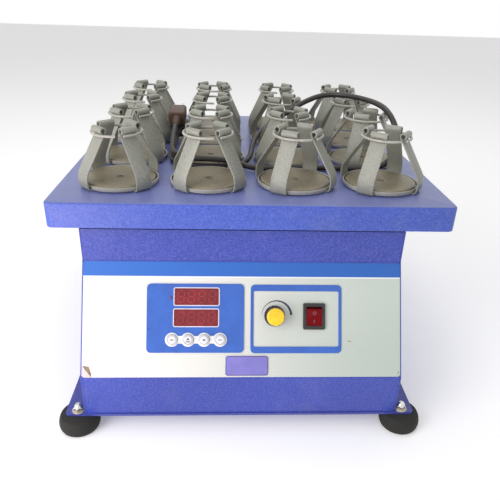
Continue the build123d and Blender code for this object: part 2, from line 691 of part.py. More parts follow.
def display_bezel():
    """The raised plate round the display windows and the buttons."""
    low, high = LABEL_THICKNESS, LABEL_THICKNESS + BEZEL_THICKNESS
    sketch = cut_rectangle(BEZEL_WIDTH, BEZEL_HEIGHT, BEZEL_CORNER_CUT)
    plate = on_slope(sketch, BEZEL_CENTRE, low, high)
    for centre in WINDOW_CENTRES:
        plate -= on_slope(window_sketch(0), centre, low - 1, high + 1)
    for place in button_places():
        plate -= on_slope(button_hole(), place, low - 1, high + 1)
    return plate


def display_windows():
    """The two tinted windows, seated in the cut-outs of the cover, the label and the bezel."""
    high = LABEL_THICKNESS + BEZEL_THICKNESS + WINDOW_PROUD
    return [on_slope(window_sketch(SEAT_CLEARANCE), c, -SHEET, high) for c in WINDOW_CENTRES]


def button_guide():
    """The strip with a ring round each button and a band that links them."""
    low = LABEL_THICKNESS + BEZEL_THICKNESS
    high = low + BUTTON_RING_THICKNESS
    places = button_places()
    length = places[-1][0] - places[0][0]
    strip = on_slope(Rectangle(length, BUTTON_BAND_HEIGHT), BUTTON_MIDDLE, low, high)
    for place in places:
        strip += on_slope(RegularPolygon(BUTTON_RING_DIAMETER / 2, MIDDLE_FLATS), place, low, high)
    for place in places:
        strip -= on_slope(button_hole(), place, low - 1, high + 1)
    return strip


def button(place):
    """A push button: round cap, square collar behind the cover and a stem towards its switch."""
    collar_top = -SHEET - BUTTON_CLEARANCE
    collar_bottom = collar_top - BUTTON_COLLAR_THICKNESS
    stem_end = collar_bottom - BUTTON_STEM_LENGTH
    cap = prism(0, 0, collar_top, BUTTON_PROUD_TOP, BUTTON_DIAMETER / 2, MIDDLE_FLATS)
    cap = chamfer(cap.edges().group_by(Axis.Z)[-1], BUTTON_EDGE)
    collar = Pos(0, 0, (collar_bottom + collar_top) / 2) * Box(
        BUTTON_COLLAR_SIZE, BUTTON_COLLAR_SIZE, BUTTON_COLLAR_THICKNESS
    )
    stem = Pos(0, 0, (stem_end + collar_bottom) / 2) * Box(
        BUTTON_STEM_SIZE, BUTTON_STEM_SIZE, BUTTON_STEM_LENGTH
    )
    return SLOPE * Pos(place[0], place[1], 0) * (cap + collar + stem)


def control_frame():
    """The thin raised frame round the dial and the power switch."""
    low, high = LABEL_THICKNESS, LABEL_THICKNESS + FRAME_THICKNESS
    outer = cut_rectangle(FRAME_WIDTH, FRAME_HEIGHT, FRAME_CORNER_CUT)
    inner = cut_rectangle(FRAME_INNER_WIDTH, FRAME_INNER_HEIGHT, FRAME_INNER_CUT)
    return on_slope(outer - inner, FRAME_CENTRE, low, high)


def blank_plate():
    """The small plain plate under the dial."""
    sketch = cut_rectangle(PLATE_WIDTH, PLATE_HEIGHT, PLATE_CORNER_CUT)
    return on_slope(sketch, PLATE_CENTRE, LABEL_THICKNESS, LABEL_THICKNESS + PLATE_DEPTH)


def potentiometer():
    """The speed control behind the slope, with its threaded bush and nut."""
    bush_top = LABEL_THICKNESS + POT_BUSH_LENGTH - 2 * SHEET
    hole = RegularPolygon(
        KNOB_SHAFT_DIAMETER / 2 + RUNNING_CLEARANCE, SMALL_FLATS, major_radius=False
    )
    body = RegularPolygon(POT_DIAMETER / 2, MIDDLE_FLATS)
    can = on_slope(body, KNOB_CENTRE, -SHEET - POT_DEPTH, -SHEET)
    can += on_slope(bush_sketch(0), KNOB_CENTRE, -SHEET, bush_top)
    return can - on_slope(hole, KNOB_CENTRE, -SHEET - POT_DEPTH / 2, bush_top + 1)


KNOB_BOTTOM = LABEL_THICKNESS + POT_BUSH_LENGTH - 2 * SHEET + KNOB_GAP
KNOB_TOP = KNOB_BOTTOM + KNOB_SKIRT_HEIGHT


def knob_shaft():
    """The potentiometer's shaft, which turns with the knob."""
    low = -SHEET - POT_DEPTH / 2 + RUNNING_CLEARANCE
    return slope_rod(KNOB_CENTRE, low, KNOB_TOP - KNOB_BORE_END, KNOB_SHAFT_DIAMETER / 2)


def knob_skirt():
    """The fluted skirt of the knob, standing on a flared foot and bored for the shaft."""
    crest, root = KNOB_SKIRT_DIAMETER / 2, KNOB_SKIRT_DIAMETER / 2 - KNOB_FLUTE_DEPTH
    points = []
    for i in range(2 * KNOB_FLUTE_COUNT):
        reach = crest if i % 2 else root
        angle = radians(180 / KNOB_FLUTE_COUNT * i)
        points.append((reach * cos(angle), reach * sin(angle)))
    fluted = Pos(0, 0, KNOB_BOTTOM) * extrude(make_face(Polyline(*points, close=True)), KNOB_SKIRT_HEIGHT)
    flare_top = KNOB_BOTTOM + KNOB_FLARE_HEIGHT
    flare = prism(0, 0, KNOB_BOTTOM, flare_top, KNOB_FLARE_DIAMETER / 2, LARGE_FLATS)
    bore_top = KNOB_TOP - KNOB_BORE_END
    bore_radius = KNOB_SHAFT_DIAMETER / 2 + SEAT_CLEARANCE
    bore = prism_hole(0, 0, KNOB_BOTTOM - 1, bore_top, bore_radius, SMALL_FLATS)
    return SLOPE * Pos(*KNOB_CENTRE, 0) * (fluted + flare - bore)


def knob_cap():
    """The coloured cap on the knob, with a pointer line let into it."""
    radius = KNOB_CAP_DIAMETER / 2
    cap = prism(0, 0, KNOB_TOP, KNOB_TOP + KNOB_CAP_HEIGHT, radius, LARGE_FLATS)
    cap = chamfer(cap.edges().group_by(Axis.Z)[-1], KNOB_CAP_EDGE)
    line = Pos(radius * 0.6, 0, KNOB_TOP + KNOB_CAP_HEIGHT) * Box(
        radius, KNOB_LINE_WIDTH, 2 * KNOB_LINE_DEPTH
    )
    cap -= Rot(0, 0, KNOB_POINTER_ANGLE) * line
    return SLOPE * Pos(*KNOB_CENTRE, 0) * cap


def switch_housing():
    """The rocker switch's housing: a bezel on the label and a body through the cover."""
    low, high = LABEL_THICKNESS, LABEL_THICKNESS + SWITCH_BEZEL_THICKNESS
    bezel = cut_rectangle(SWITCH_BEZEL_WIDTH, SWITCH_BEZEL_HEIGHT, SWITCH_BEZEL_CUT)
    shell = on_slope(bezel, SWITCH_CENTRE, low, high)
    shell += on_slope(switch_sketch(0), SWITCH_CENTRE, high - SWITCH_BODY_DEPTH, high)
    well = Rectangle(SWITCH_WELL_WIDTH, SWITCH_WELL_HEIGHT)
    shell -= on_slope(well, SWITCH_CENTRE, high - SWITCH_WELL_DEPTH, high + 1)
    pin = cross_pin(ROCKER_PIN_DIAMETER / 2, SWITCH_WELL_WIDTH, True)
    return shell + SLOPE * Pos(*SWITCH_CENTRE, high - ROCKER_PIVOT_DEPTH) * pin


def cross_pin(radius, length, corners_on_circle):
    """A pin of flats along X, about its middle."""
    outline = Plane.YZ * RegularPolygon(radius, SMALL_FLATS, major_radius=corners_on_circle)
    return extrude(Pos(-length / 2, 0, 0) * outline, length, dir=(1, 0, 0))


def rocker():
    """The two-faced rocker on its pin; its lower end is pressed in at rest."""
    high = LABEL_THICKNESS + SWITCH_BEZEL_THICKNESS
    pivot = high - ROCKER_PIVOT_DEPTH
    tilt = radians(ROCKER_TILT)
    half = SWITCH_WELL_HEIGHT / 2 - ROCKER_CLEARANCE
    bottom, end = ROCKER_CREST - ROCKER_THICKNESS, ROCKER_CREST + ROCKER_END_LIFT
    reach = (half - end * sin(tilt)) / cos(tilt)
    points = [(-reach, bottom), (-reach, end), (0, ROCKER_CREST), (reach, end), (reach, bottom)]
    paddle = make_face(Plane.YZ * Polyline(*points, close=True))
    width = SWITCH_WELL_WIDTH - 2 * ROCKER_CLEARANCE
    solid = extrude(Pos(-width / 2, 0, 0) * paddle, width, dir=(1, 0, 0))
    solid -= cross_pin(ROCKER_PIN_DIAMETER / 2 + RUNNING_CLEARANCE, width + 2, False)
    return SLOPE * Pos(*SWITCH_CENTRE, pivot) * Rot(ROCKER_TILT, 0, 0) * solid


# Cranks, bearings and drive


def bearing_housing(x, y, length, diameter, flange, shaft_diameter):
    """A flanged bearing unit under the bearing plate, bored for the shaft that turns in it."""
    top = PLATE_UNDERSIDE
    body = prism(x, y, top - length, top, diameter / 2, LARGE_FLATS)
    collar = Pos(x, y, top - HOUSING_FLANGE_THICKNESS / 2) * Box(flange, flange, HOUSING_FLANGE_THICKNESS)
    bore = rod(x, y, top - length - 1, top + 1, shaft_diameter / 2 + RUNNING_CLEARANCE)
    return body + collar - bore


def bearing_housings():
    """The bearing units of the driven shaft and of each idling crank."""
    housings = [
        bearing_housing(
            *SHAFT_XY, MAIN_HOUSING_LENGTH, MAIN_HOUSING_DIAMETER, MAIN_FLANGE_SIZE,
            MAIN_SHAFT_DIAMETER,
        )
    ]
    for place in idler_places():
        housings.append(
            bearing_housing(
                *place, IDLER_HOUSING_LENGTH, IDLER_HOUSING_DIAMETER, IDLER_FLANGE_SIZE,
                IDLER_SHAFT_DIAMETER,
            )
        )
    return housings


def main_shaft():
    """The driven shaft, from the pulley's underside to the crank."""
    bottom = WEB_BOTTOM - MAIN_SHAFT_LENGTH - 4
    return rod(*SHAFT_XY, bottom, WEB_BOTTOM, MAIN_SHAFT_DIAMETER / 2)


def main_crank():
    """The crank disc on the driven shaft, with the pin that carries the platform."""
    x, y = SHAFT_XY
    disc = prism(x, y, WEB_BOTTOM, WEB_TOP, MAIN_WEB_DIAMETER / 2, LARGE_FLATS)
    pin_top = WEB_TOP + CRANK_PIN_LENGTH
    return disc + rod(x + ORBIT_RADIUS, y, WEB_TOP - 1, pin_top, CRANK_PIN_DIAMETER / 2)


def idler_crank(x, y):
    """An idling crank: lower shaft, web and upper pin in one piece."""
    shaft_bottom = PLATE_UNDERSIDE - IDLER_HOUSING_LENGTH
    shaft = rod(x, y, shaft_bottom, WEB_BOTTOM + 1, IDLER_SHAFT_DIAMETER / 2)
    outline = cut_rectangle(ORBIT_RADIUS + IDLER_WEB_WIDTH, IDLER_WEB_WIDTH, IDLER_WEB_CUT)
    web = Pos(x + ORBIT_RADIUS / 2, y, WEB_BOTTOM) * extrude(outline, CRANK_WEB_THICKNESS)
    pin_top = WEB_TOP + CRANK_PIN_LENGTH
    pin = rod(x + ORBIT_RADIUS, y, WEB_TOP - 1, pin_top, CRANK_PIN_DIAMETER / 2)
    return shaft + web + pin


def pulley(x, y, diameter, bore_diameter):
    """A pulley with a flange under and over its belt."""
    bottom, top = PULLEY_TOP - PULLEY_WIDTH, PULLEY_TOP
    wheel = prism(x, y, bottom, top, diameter / 2, LARGE_FLATS)
    for low in (bottom, top - PULLEY_FLANGE_THICKNESS):
        high = low + PULLEY_FLANGE_THICKNESS
        wheel += prism(x, y, low, high, diameter / 2 + PULLEY_FLANGE, LARGE_FLATS)
    bore = bore_diameter / 2 + SEAT_CLEARANCE
    return wheel - prism_hole(x, y, bottom - 1, top + 1, bore, SMALL_FLATS)


def driven_pulley():
    """The large pulley, hollowed from below to a web on a hub."""
    bottom, web = PULLEY_TOP - PULLEY_WIDTH, PULLEY_TOP - PULLEY_WEB_THICKNESS
    hollow = prism(*SHAFT_XY, bottom - 1, web, PULLEY_DIAMETER / 2 - PULLEY_RIM, LARGE_FLATS)
    hollow -= prism(*SHAFT_XY, bottom - 1, web, PULLEY_HUB_DIAMETER / 2, SMALL_FLATS)
    return pulley(*SHAFT_XY, PULLEY_DIAMETER, MAIN_SHAFT_DIAMETER) - hollow


def counterweight():
    """The sector on the pulley, opposite the crank pin."""
    outer = PULLEY_DIAMETER / 2 - 2
    half = COUNTERWEIGHT_ANGLE / 2
    wedge_reach = 3 * outer
    wedge = Polygon(
        (0, 0), (wedge_reach * cos(radians(180 - half)), wedge_reach * sin(radians(180 - half))),
        (-wedge_reach, wedge_reach), (-wedge_reach, -wedge_reach),
        (wedge_reach * cos(radians(180 + half)), wedge_reach * sin(radians(180 + half))),
        align=None,
    )
    ring = RegularPolygon(outer, LARGE_FLATS) - RegularPolygon(COUNTERWEIGHT_INNER_RADIUS, LARGE_FLATS)
    return Pos(*SHAFT_XY, PULLEY_TOP) * extrude(ring & wedge, COUNTERWEIGHT_THICKNESS)


def motor_pulley():
    """The small pulley on the motor's shaft."""
    return pulley(*MOTOR_XY, MOTOR_PULLEY_DIAMETER, MOTOR_SHAFT_DIAMETER)


def motor_shaft():
    """The motor's shaft, from inside the motor down through its pulley."""
    return rod(
        *MOTOR_XY, PULLEY_TOP - PULLEY_WIDTH - 2, MOTOR_BOTTOM + MOTOR_BOSS_HEIGHT,
        MOTOR_SHAFT_DIAMETER / 2,
    )


def drive_belt():
    """The flat belt round both pulleys."""

    def loop(extra):
        driven, driving = [
            RegularPolygon(diameter / 2 + extra, LARGE_FLATS, major_radius=False)
            for diameter in (PULLEY_DIAMETER, MOTOR_PULLEY_DIAMETER)
        ]
        return make_hull(driven.edges() + (Pos(0, MOTOR_DISTANCE) * driving).edges())

    outline = loop(BELT_CLEARANCE + BELT_THICKNESS) - loop(BELT_CLEARANCE)
    bottom = PULLEY_TOP - PULLEY_WIDTH / 2 - BELT_WIDTH / 2
    return Pos(*SHAFT_XY, bottom) * extrude(outline, BELT_WIDTH)


def motor():
    """The motor's can, end cap and boss, bored for its shaft."""
    x, y = MOTOR_XY
    top = MOTOR_BOTTOM + MOTOR_LENGTH - MOTOR_CAP_HEIGHT
    can = prism(x, y, MOTOR_BOTTOM, top, MOTOR_DIAMETER / 2, LARGE_FLATS)
    can += prism(x, y, top, top + MOTOR_CAP_HEIGHT, MOTOR_CAP_DIAMETER / 2, MIDDLE_FLATS)
    can += prism(x, y, BRACKET_BOTTOM, MOTOR_BOTTOM, MOTOR_BOSS_DIAMETER / 2, MIDDLE_FLATS)
    hole, high = MOTOR_SHAFT_DIAMETER / 2 + RUNNING_CLEARANCE, MOTOR_BOTTOM + MOTOR_BOSS_HEIGHT + 1
    return can - prism_hole(x, y, BRACKET_BOTTOM - 1, high, hole, SMALL_FLATS)


def motor_bracket():
    """The plate under the motor, hung from the bearing plate by four posts."""
    x, y = MOTOR_XY
    half = BRACKET_SIZE / 2
    sketch = Rectangle(BRACKET_SIZE, BRACKET_SIZE)
    plate = Pos(x, y, BRACKET_BOTTOM) * extrude(sketch, BRACKET_THICKNESS)
    hole = MOTOR_BOSS_DIAMETER / 2 + SEAT_CLEARANCE
    plate -= prism(x, y, BRACKET_BOTTOM - 1, MOTOR_BOTTOM + 1, hole, MIDDLE_FLATS)
    reach, post = half - BRACKET_POST_INSET, BRACKET_POST_SIZE / 2
    for sx in (-1, 1):
        for sy in (-1, 1):
            place = (x + sx * reach, y + sy * reach)
            low = (place[0] - post, place[1] - post, MOTOR_BOTTOM - 1)
            plate += block(low, (place[0] + post, place[1] + post, PLATE_UNDERSIDE))
    return plate


# Platform


def pin_places():
    """The middles of the crank pins, which the platform turns about."""
    return [(x + ORBIT_RADIUS, y) for x, y in [SHAFT_XY] + idler_places()]


def platform_carrier():
    """The plate under the deck, with a bored hub for each crank's pin."""
    outline = cut_rectangle(CARRIER_SIZE, CARRIER_SIZE, CARRIER_CORNER_CUT)
    plate = Pos(0, DECK_CENTRE_Y, CARRIER_BOTTOM) * extrude(outline, CARRIER_THICKNESS)
    bore = CRANK_PIN_DIAMETER / 2 + RUNNING_CLEARANCE
    for x, y in pin_places():
        plate += prism(x, y, HUB_BOTTOM, CARRIER_BOTTOM, HUB_DIAMETER / 2, LARGE_FLATS)
    for x, y in pin_places():
        plate -= rod(x, y, HUB_BOTTOM - 1, CARRIER_BOTTOM - HUB_LIP, bore)
    return plate


def deck():
    """The deck: a folded tray, upside down, that lies on the carrier."""
    outline = RectangleRounded(DECK_SIZE, DECK_SIZE, DECK_CORNER_RADIUS)
    shell = Pos(0, DECK_CENTRE_Y, DECK_TOP - DECK_DEPTH) * extrude(outline, DECK_DEPTH)
    shell = chamfer(shell.edges().group_by(Axis.Z)[-1], DECK_EDGE)
    inner_size = DECK_SIZE - 2 * DECK_SHEET
    inner_outline = RectangleRounded(inner_size, inner_size, DECK_CORNER_RADIUS - DECK_SHEET)
    room = Pos(0, DECK_CENTRE_Y, DECK_UNDERSIDE - DECK_DEPTH) * extrude(inner_outline, DECK_DEPTH)
    return shell - room


# Flask clamps


def roll_points():
    """The outside and the inside of an arm's rolled top, as flats, from where the blade meets it."""
    centre = (ROLL_CENTRE_RADIUS, ROLL_CENTRE_HEIGHT)
    outside, inside = [], []
    for i in range(ROLL_FLATS + 1):
        angle = radians(ROLL_START_ANGLE - ROLL_ANGLE / ROLL_FLATS * i)
        for points, reach in ((outside, ROLL_RADIUS), (inside, ROLL_RADIUS - ARM_THICKNESS)):
            points.append((centre[0] + reach * cos(angle), centre[1] + reach * sin(angle)))
    return outside, inside


def clamp_arm():
    """One spring arm pointing to +X: a foot under the disc, a bowed heel, a blade and a rolled top."""
    wall = ARM_THICKNESS
    outside, inside = roll_points()
    outer = [(ARM_ROOT_RADIUS, 0), (ARM_HEEL_RADIUS, 0), (ARM_BELLY_RADIUS, ARM_BELLY_HEIGHT),
             (ARM_WAIST_RADIUS, ARM_WAIST_HEIGHT)]
    inner = [(ARM_WAIST_RADIUS - wall, ARM_WAIST_HEIGHT), (ARM_BELLY_RADIUS - wall, ARM_BELLY_HEIGHT),
             (ARM_HEEL_RADIUS - wall / 2, wall), (ARM_ROOT_RADIUS, wall)]
    profile = Polyline(*outer, *inside[:1], *inside[1:], *reversed(outside), *inner, close=True)
    return Pos(0, -ARM_WIDTH / 2, 0) * extrude(make_face(Plane.XZ * profile), ARM_WIDTH, dir=(0, 1, 0))


def clamp_arms(row):
    """The arms of one row of clamps."""
    arm = clamp_arm()
    arms = []
    for clamp_row, column, x, y, turn in clamp_places():
        if clamp_row == row:
            for i in range(ARMS_PER_CLAMP):
                angle = turn + 360 / ARMS_PER_CLAMP * i
                arms.append(Pos(x, y, DECK_TOP) * Rot(0, 0, angle) * arm)
    return arms


def clamp_seats():
    """The seat of each clamp, on the feet of its arms: a disc for the flask, and a low hoop round it."""
    outer = HOOP_DIAMETER / 2
    disc = extrude(RegularPolygon(outer - HOOP_THICKNESS / 2, ROUND_FLATS), DISC_THICKNESS)
    ring = RegularPolygon(outer, ROUND_FLATS) - RegularPolygon(outer - HOOP_THICKNESS, ROUND_FLATS)
    seat = disc + extrude(ring, HOOP_HEIGHT)
    return [Pos(x, y, CLAMP_DISC_BOTTOM) * seat for row, column, x, y, turn in clamp_places()]


def clamp_rings():
    """The open wire ring of each clamp, which draws its arms together under their rolled tops."""
    inner, outer = RING_RADIUS - RING_WIRE_DIAMETER / 2, RING_RADIUS + RING_WIRE_DIAMETER / 2
    outlines = [
        RegularPolygon(reach, RING_FLATS, major_radius=False, rotation=180 / RING_FLATS)
        for reach in (outer, inner)
    ]
    ring = outlines[0] - outlines[1] - Pos(RING_RADIUS, 0) * Rectangle(4 * RING_WIRE_DIAMETER, RING_GAP)
    ring = extrude(ring, RING_WIRE_DIAMETER)
    height = DECK_TOP + ROLL_CENTRE_HEIGHT - RING_DROP - RING_WIRE_DIAMETER
    rings = []
    for row, column, x, y, turn in clamp_places():
        rings.append(Pos(x, y, height) * Rot(0, 0, turn - 180 / ARMS_PER_CLAMP) * ring)
    return rings


# Power cord


def cord_points():
    """The corners of the cord's route, from its connector to its plug."""
    return [Vector(x, DECK_CENTRE_Y + y, DECK_TOP + z) for x, y, z in CORD_ROUTE]


def cord_radii(points):
    """The arc at each corner of the route, as large as its two runs allow."""
    radii = []
    for before, corner, after in zip(points, points[1:], points[2:]):
        arriving, leaving = corner - before, after - corner
        half_turn = radians(arriving.get_angle(leaving) / 2)
        radii.append(CORD_ARC_SHARE * min(arriving.length, leaving.length) / tan(half_turn))
    return radii


def power_cord():
    """The cord as straight runs joined by tangent arcs."""
    points = cord_points()
    radii = cord_radii(points)
    path = FilletPolyline(*points, radius=radii)
    section = Plane(origin=path @ 0, z_dir=path % 0) * RegularPolygon(CORD_DIAMETER / 2, CORD_FLATS)
    cord = sweep(section, path=path)
    print("cord length", round(path.length, 1), "smallest arc", round(min(radii), 1))
    print("cord volume over section times length", round(cord.volume / section.area / path.length, 4))
    return cord


def relief(at):
    """A tapered strain relief along +Z of a plane, from the cord's end to its moulding."""
    return at * tapered(0, RELIEF_LENGTH, RELIEF_TIP_DIAMETER / 2, RELIEF_DIAMETER / 2, SMALL_FLATS)


def cord_connector():
    """The appliance connector that lies over the rims of two clamps, with its strain relief."""
    start = cord_points()[0]
    at = Plane(origin=start, x_dir=(1, 0, 0), z_dir=(0, 1, 0))
    outline = Rectangle(CONNECTOR_WIDTH, CONNECTOR_HEIGHT)
    outline = chamfer(outline.vertices().group_by(Axis.Y)[0], CONNECTOR_CHAMFER)
    body = extrude(at * Pos(0, 0, RELIEF_LENGTH) * outline, CONNECTOR_LENGTH, dir=at.z_dir)
    slot_depth = INLET_PIN_LENGTH + 2
    for i, lift in ((-1, -1.5), (0, 2.0), (1, -1.5)):
        slot = Rectangle(INLET_PIN_WIDTH + 0.6, INLET_PIN_HEIGHT + 0.6)
        end = RELIEF_LENGTH + CONNECTOR_LENGTH
        place = at * Pos(i * INLET_PIN_PITCH, lift, end - slot_depth)
        body -= extrude(place * slot, slot_depth + 1, dir=at.z_dir)
    return body + relief(at)


def plug_plane():
    """Where the plug's strain relief starts, with +Z towards its pins."""
    before, end = cord_points()[-2:]
    return Plane(origin=end, x_dir=(1, 0, 0), z_dir=end - before)


def cord_plug():
    """The moulded plug, lying on the connector, with its strain relief."""
    at = plug_plane()
    outline = Rectangle(PLUG_WIDTH, PLUG_HEIGHT)
    outline = chamfer(outline.vertices(), PLUG_CHAMFER)
    body = extrude(at * Pos(0, 0, RELIEF_LENGTH) * outline, PLUG_LENGTH, dir=at.z_dir)
    return body + relief(at)


def plug_pins():
    """The plug's two blades and its earth pin, which stand on its face."""
    at = plug_plane()
    face = RELIEF_LENGTH + PLUG_LENGTH
    pins = []
    for side in (-1, 1):
        x = side * PLUG_BLADE_PITCH / 2
        blade = Rectangle(PLUG_BLADE_THICKNESS, PLUG_BLADE_WIDTH)
        place = at * Pos(x, -PLUG_BLADE_LIFT, face)
        pins.append(extrude(place * blade, PLUG_BLADE_LENGTH, dir=at.z_dir))
    earth = RegularPolygon(PLUG_EARTH_DIAMETER / 2, CORD_FLATS)
    pins.append(extrude(at * Pos(0, PLUG_EARTH_DROP, face) * earth, PLUG_EARTH_LENGTH, dir=at.z_dir))
    return pins


def main():
    write("base_plate", base_plate())
    write("rubber_feet", *[foot(*p) for p in foot_places()])
    write("foot_bolts", *[foot_bolt(*p) for p in foot_places()])
    write("front_cover", front_cover())
    write("side_cover_left", side_cover(-1))
    write("side_cover_right", side_cover(1))
    write("rear_panel", rear_panel())
    write("corner_posts", *[corner_post(*p) for p in post_places()])
    write("bearing_plate", bearing_plate())
    write("power_inlet", power_inlet())
    write("control_board", *control_board())
    write("display_modules", *display_modules())
    write("power_board", *power_board())
    write("control_label", control_label())
    write("display_bezel", display_bezel())
    write("display_windows", *display_windows())
    write("button_guide", button_guide())
    for i, place in enumerate(button_places()):
        write(f"button_{i + 1}", button(place))
    write("control_frame", control_frame())
    write("blank_plate", blank_plate())
    write("speed_potentiometer", potentiometer())
    write("speed_shaft", knob_shaft())
    write("knob_skirt", knob_skirt())
    write("knob_cap", knob_cap())
    write("switch_housing", switch_housing())
    write("switch_rocker", rocker())
    write("bearing_housings", *bearing_housings())
    write("main_shaft", main_shaft())
    write("main_crank", main_crank())
    for i, place in enumerate(idler_places()):
        write(f"idler_crank_{i + 1}", idler_crank(*place))
    write("driven_pulley", driven_pulley())
    write("counterweight", counterweight())
    write("motor_pulley", motor_pulley())
    write("motor_shaft", motor_shaft())
    write("drive_belt", drive_belt())
    write("motor", motor())
    write("motor_bracket", motor_bracket())
    write("platform_carrier", platform_carrier())
    write("deck", deck())
    for row in range(CLAMP_ROWS):
        write(f"clamp_arms_row_{row + 1}", *clamp_arms(row))
    write("clamp_seats", *clamp_seats())
    write("clamp_rings", *clamp_rings())
    write("power_cord", power_cord())
    write("cord_connector", cord_connector())
    write("cord_plug", cord_plug())
    write("plug_pins", *plug_pins())


if __name__ == "__main__":
    main()
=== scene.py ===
import logging
import math
from contextlib import contextmanager
from dataclasses import dataclass
from enum import Enum
from typing import Callable, Iterator, Sequence

import bmesh
import bpy
from mathutils import Matrix, Vector


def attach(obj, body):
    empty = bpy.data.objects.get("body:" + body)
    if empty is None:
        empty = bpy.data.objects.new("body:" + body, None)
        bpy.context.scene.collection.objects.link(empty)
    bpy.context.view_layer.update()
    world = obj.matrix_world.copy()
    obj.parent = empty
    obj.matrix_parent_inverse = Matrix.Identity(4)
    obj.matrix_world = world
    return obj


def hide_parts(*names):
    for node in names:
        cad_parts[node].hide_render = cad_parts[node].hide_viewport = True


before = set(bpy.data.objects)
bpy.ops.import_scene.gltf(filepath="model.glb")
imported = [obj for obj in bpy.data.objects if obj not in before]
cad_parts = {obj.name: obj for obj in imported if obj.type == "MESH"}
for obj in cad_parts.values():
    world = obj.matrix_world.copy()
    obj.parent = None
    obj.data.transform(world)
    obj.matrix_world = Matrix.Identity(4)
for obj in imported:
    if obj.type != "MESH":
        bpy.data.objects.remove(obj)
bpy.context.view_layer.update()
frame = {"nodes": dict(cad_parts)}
LOG = logging.getLogger("shaker")
MM = 0.001

# The sloping panel: its middle, with X to the right, Y up the slope and Z out of it.
SLOPE = Matrix((
    (1.0, 0.0, 0.0, -0.0095),
    (0.0, 0.47323, -0.88094, -0.214),
    (0.0, 0.88094, 0.47323, 0.1335),
    (0.0, 0.0, 0.0, 1.0),
))
DECK_MIDDLE_Y = 36.0
DECK_TOP = 267.0


class Body(Enum):
    """The CAD bodies that a piece can ride on."""

    BASE = "base"
    PLATFORM = "platform"
    KNOB = "speed_knob"
    ROCKER = "power_rocker"
    BUTTON_A = "button_a"
    BUTTON_B = "button_b"
    BUTTON_C = "button_c"
    BUTTON_D = "button_d"


class Pick(Enum):
    """The kind of mesh element that is worked on in edit mode."""

    VERTICES = "VERT"
    EDGES = "EDGE"
    FACES = "FACE"


Test = Callable[[Vector, Vector], bool]


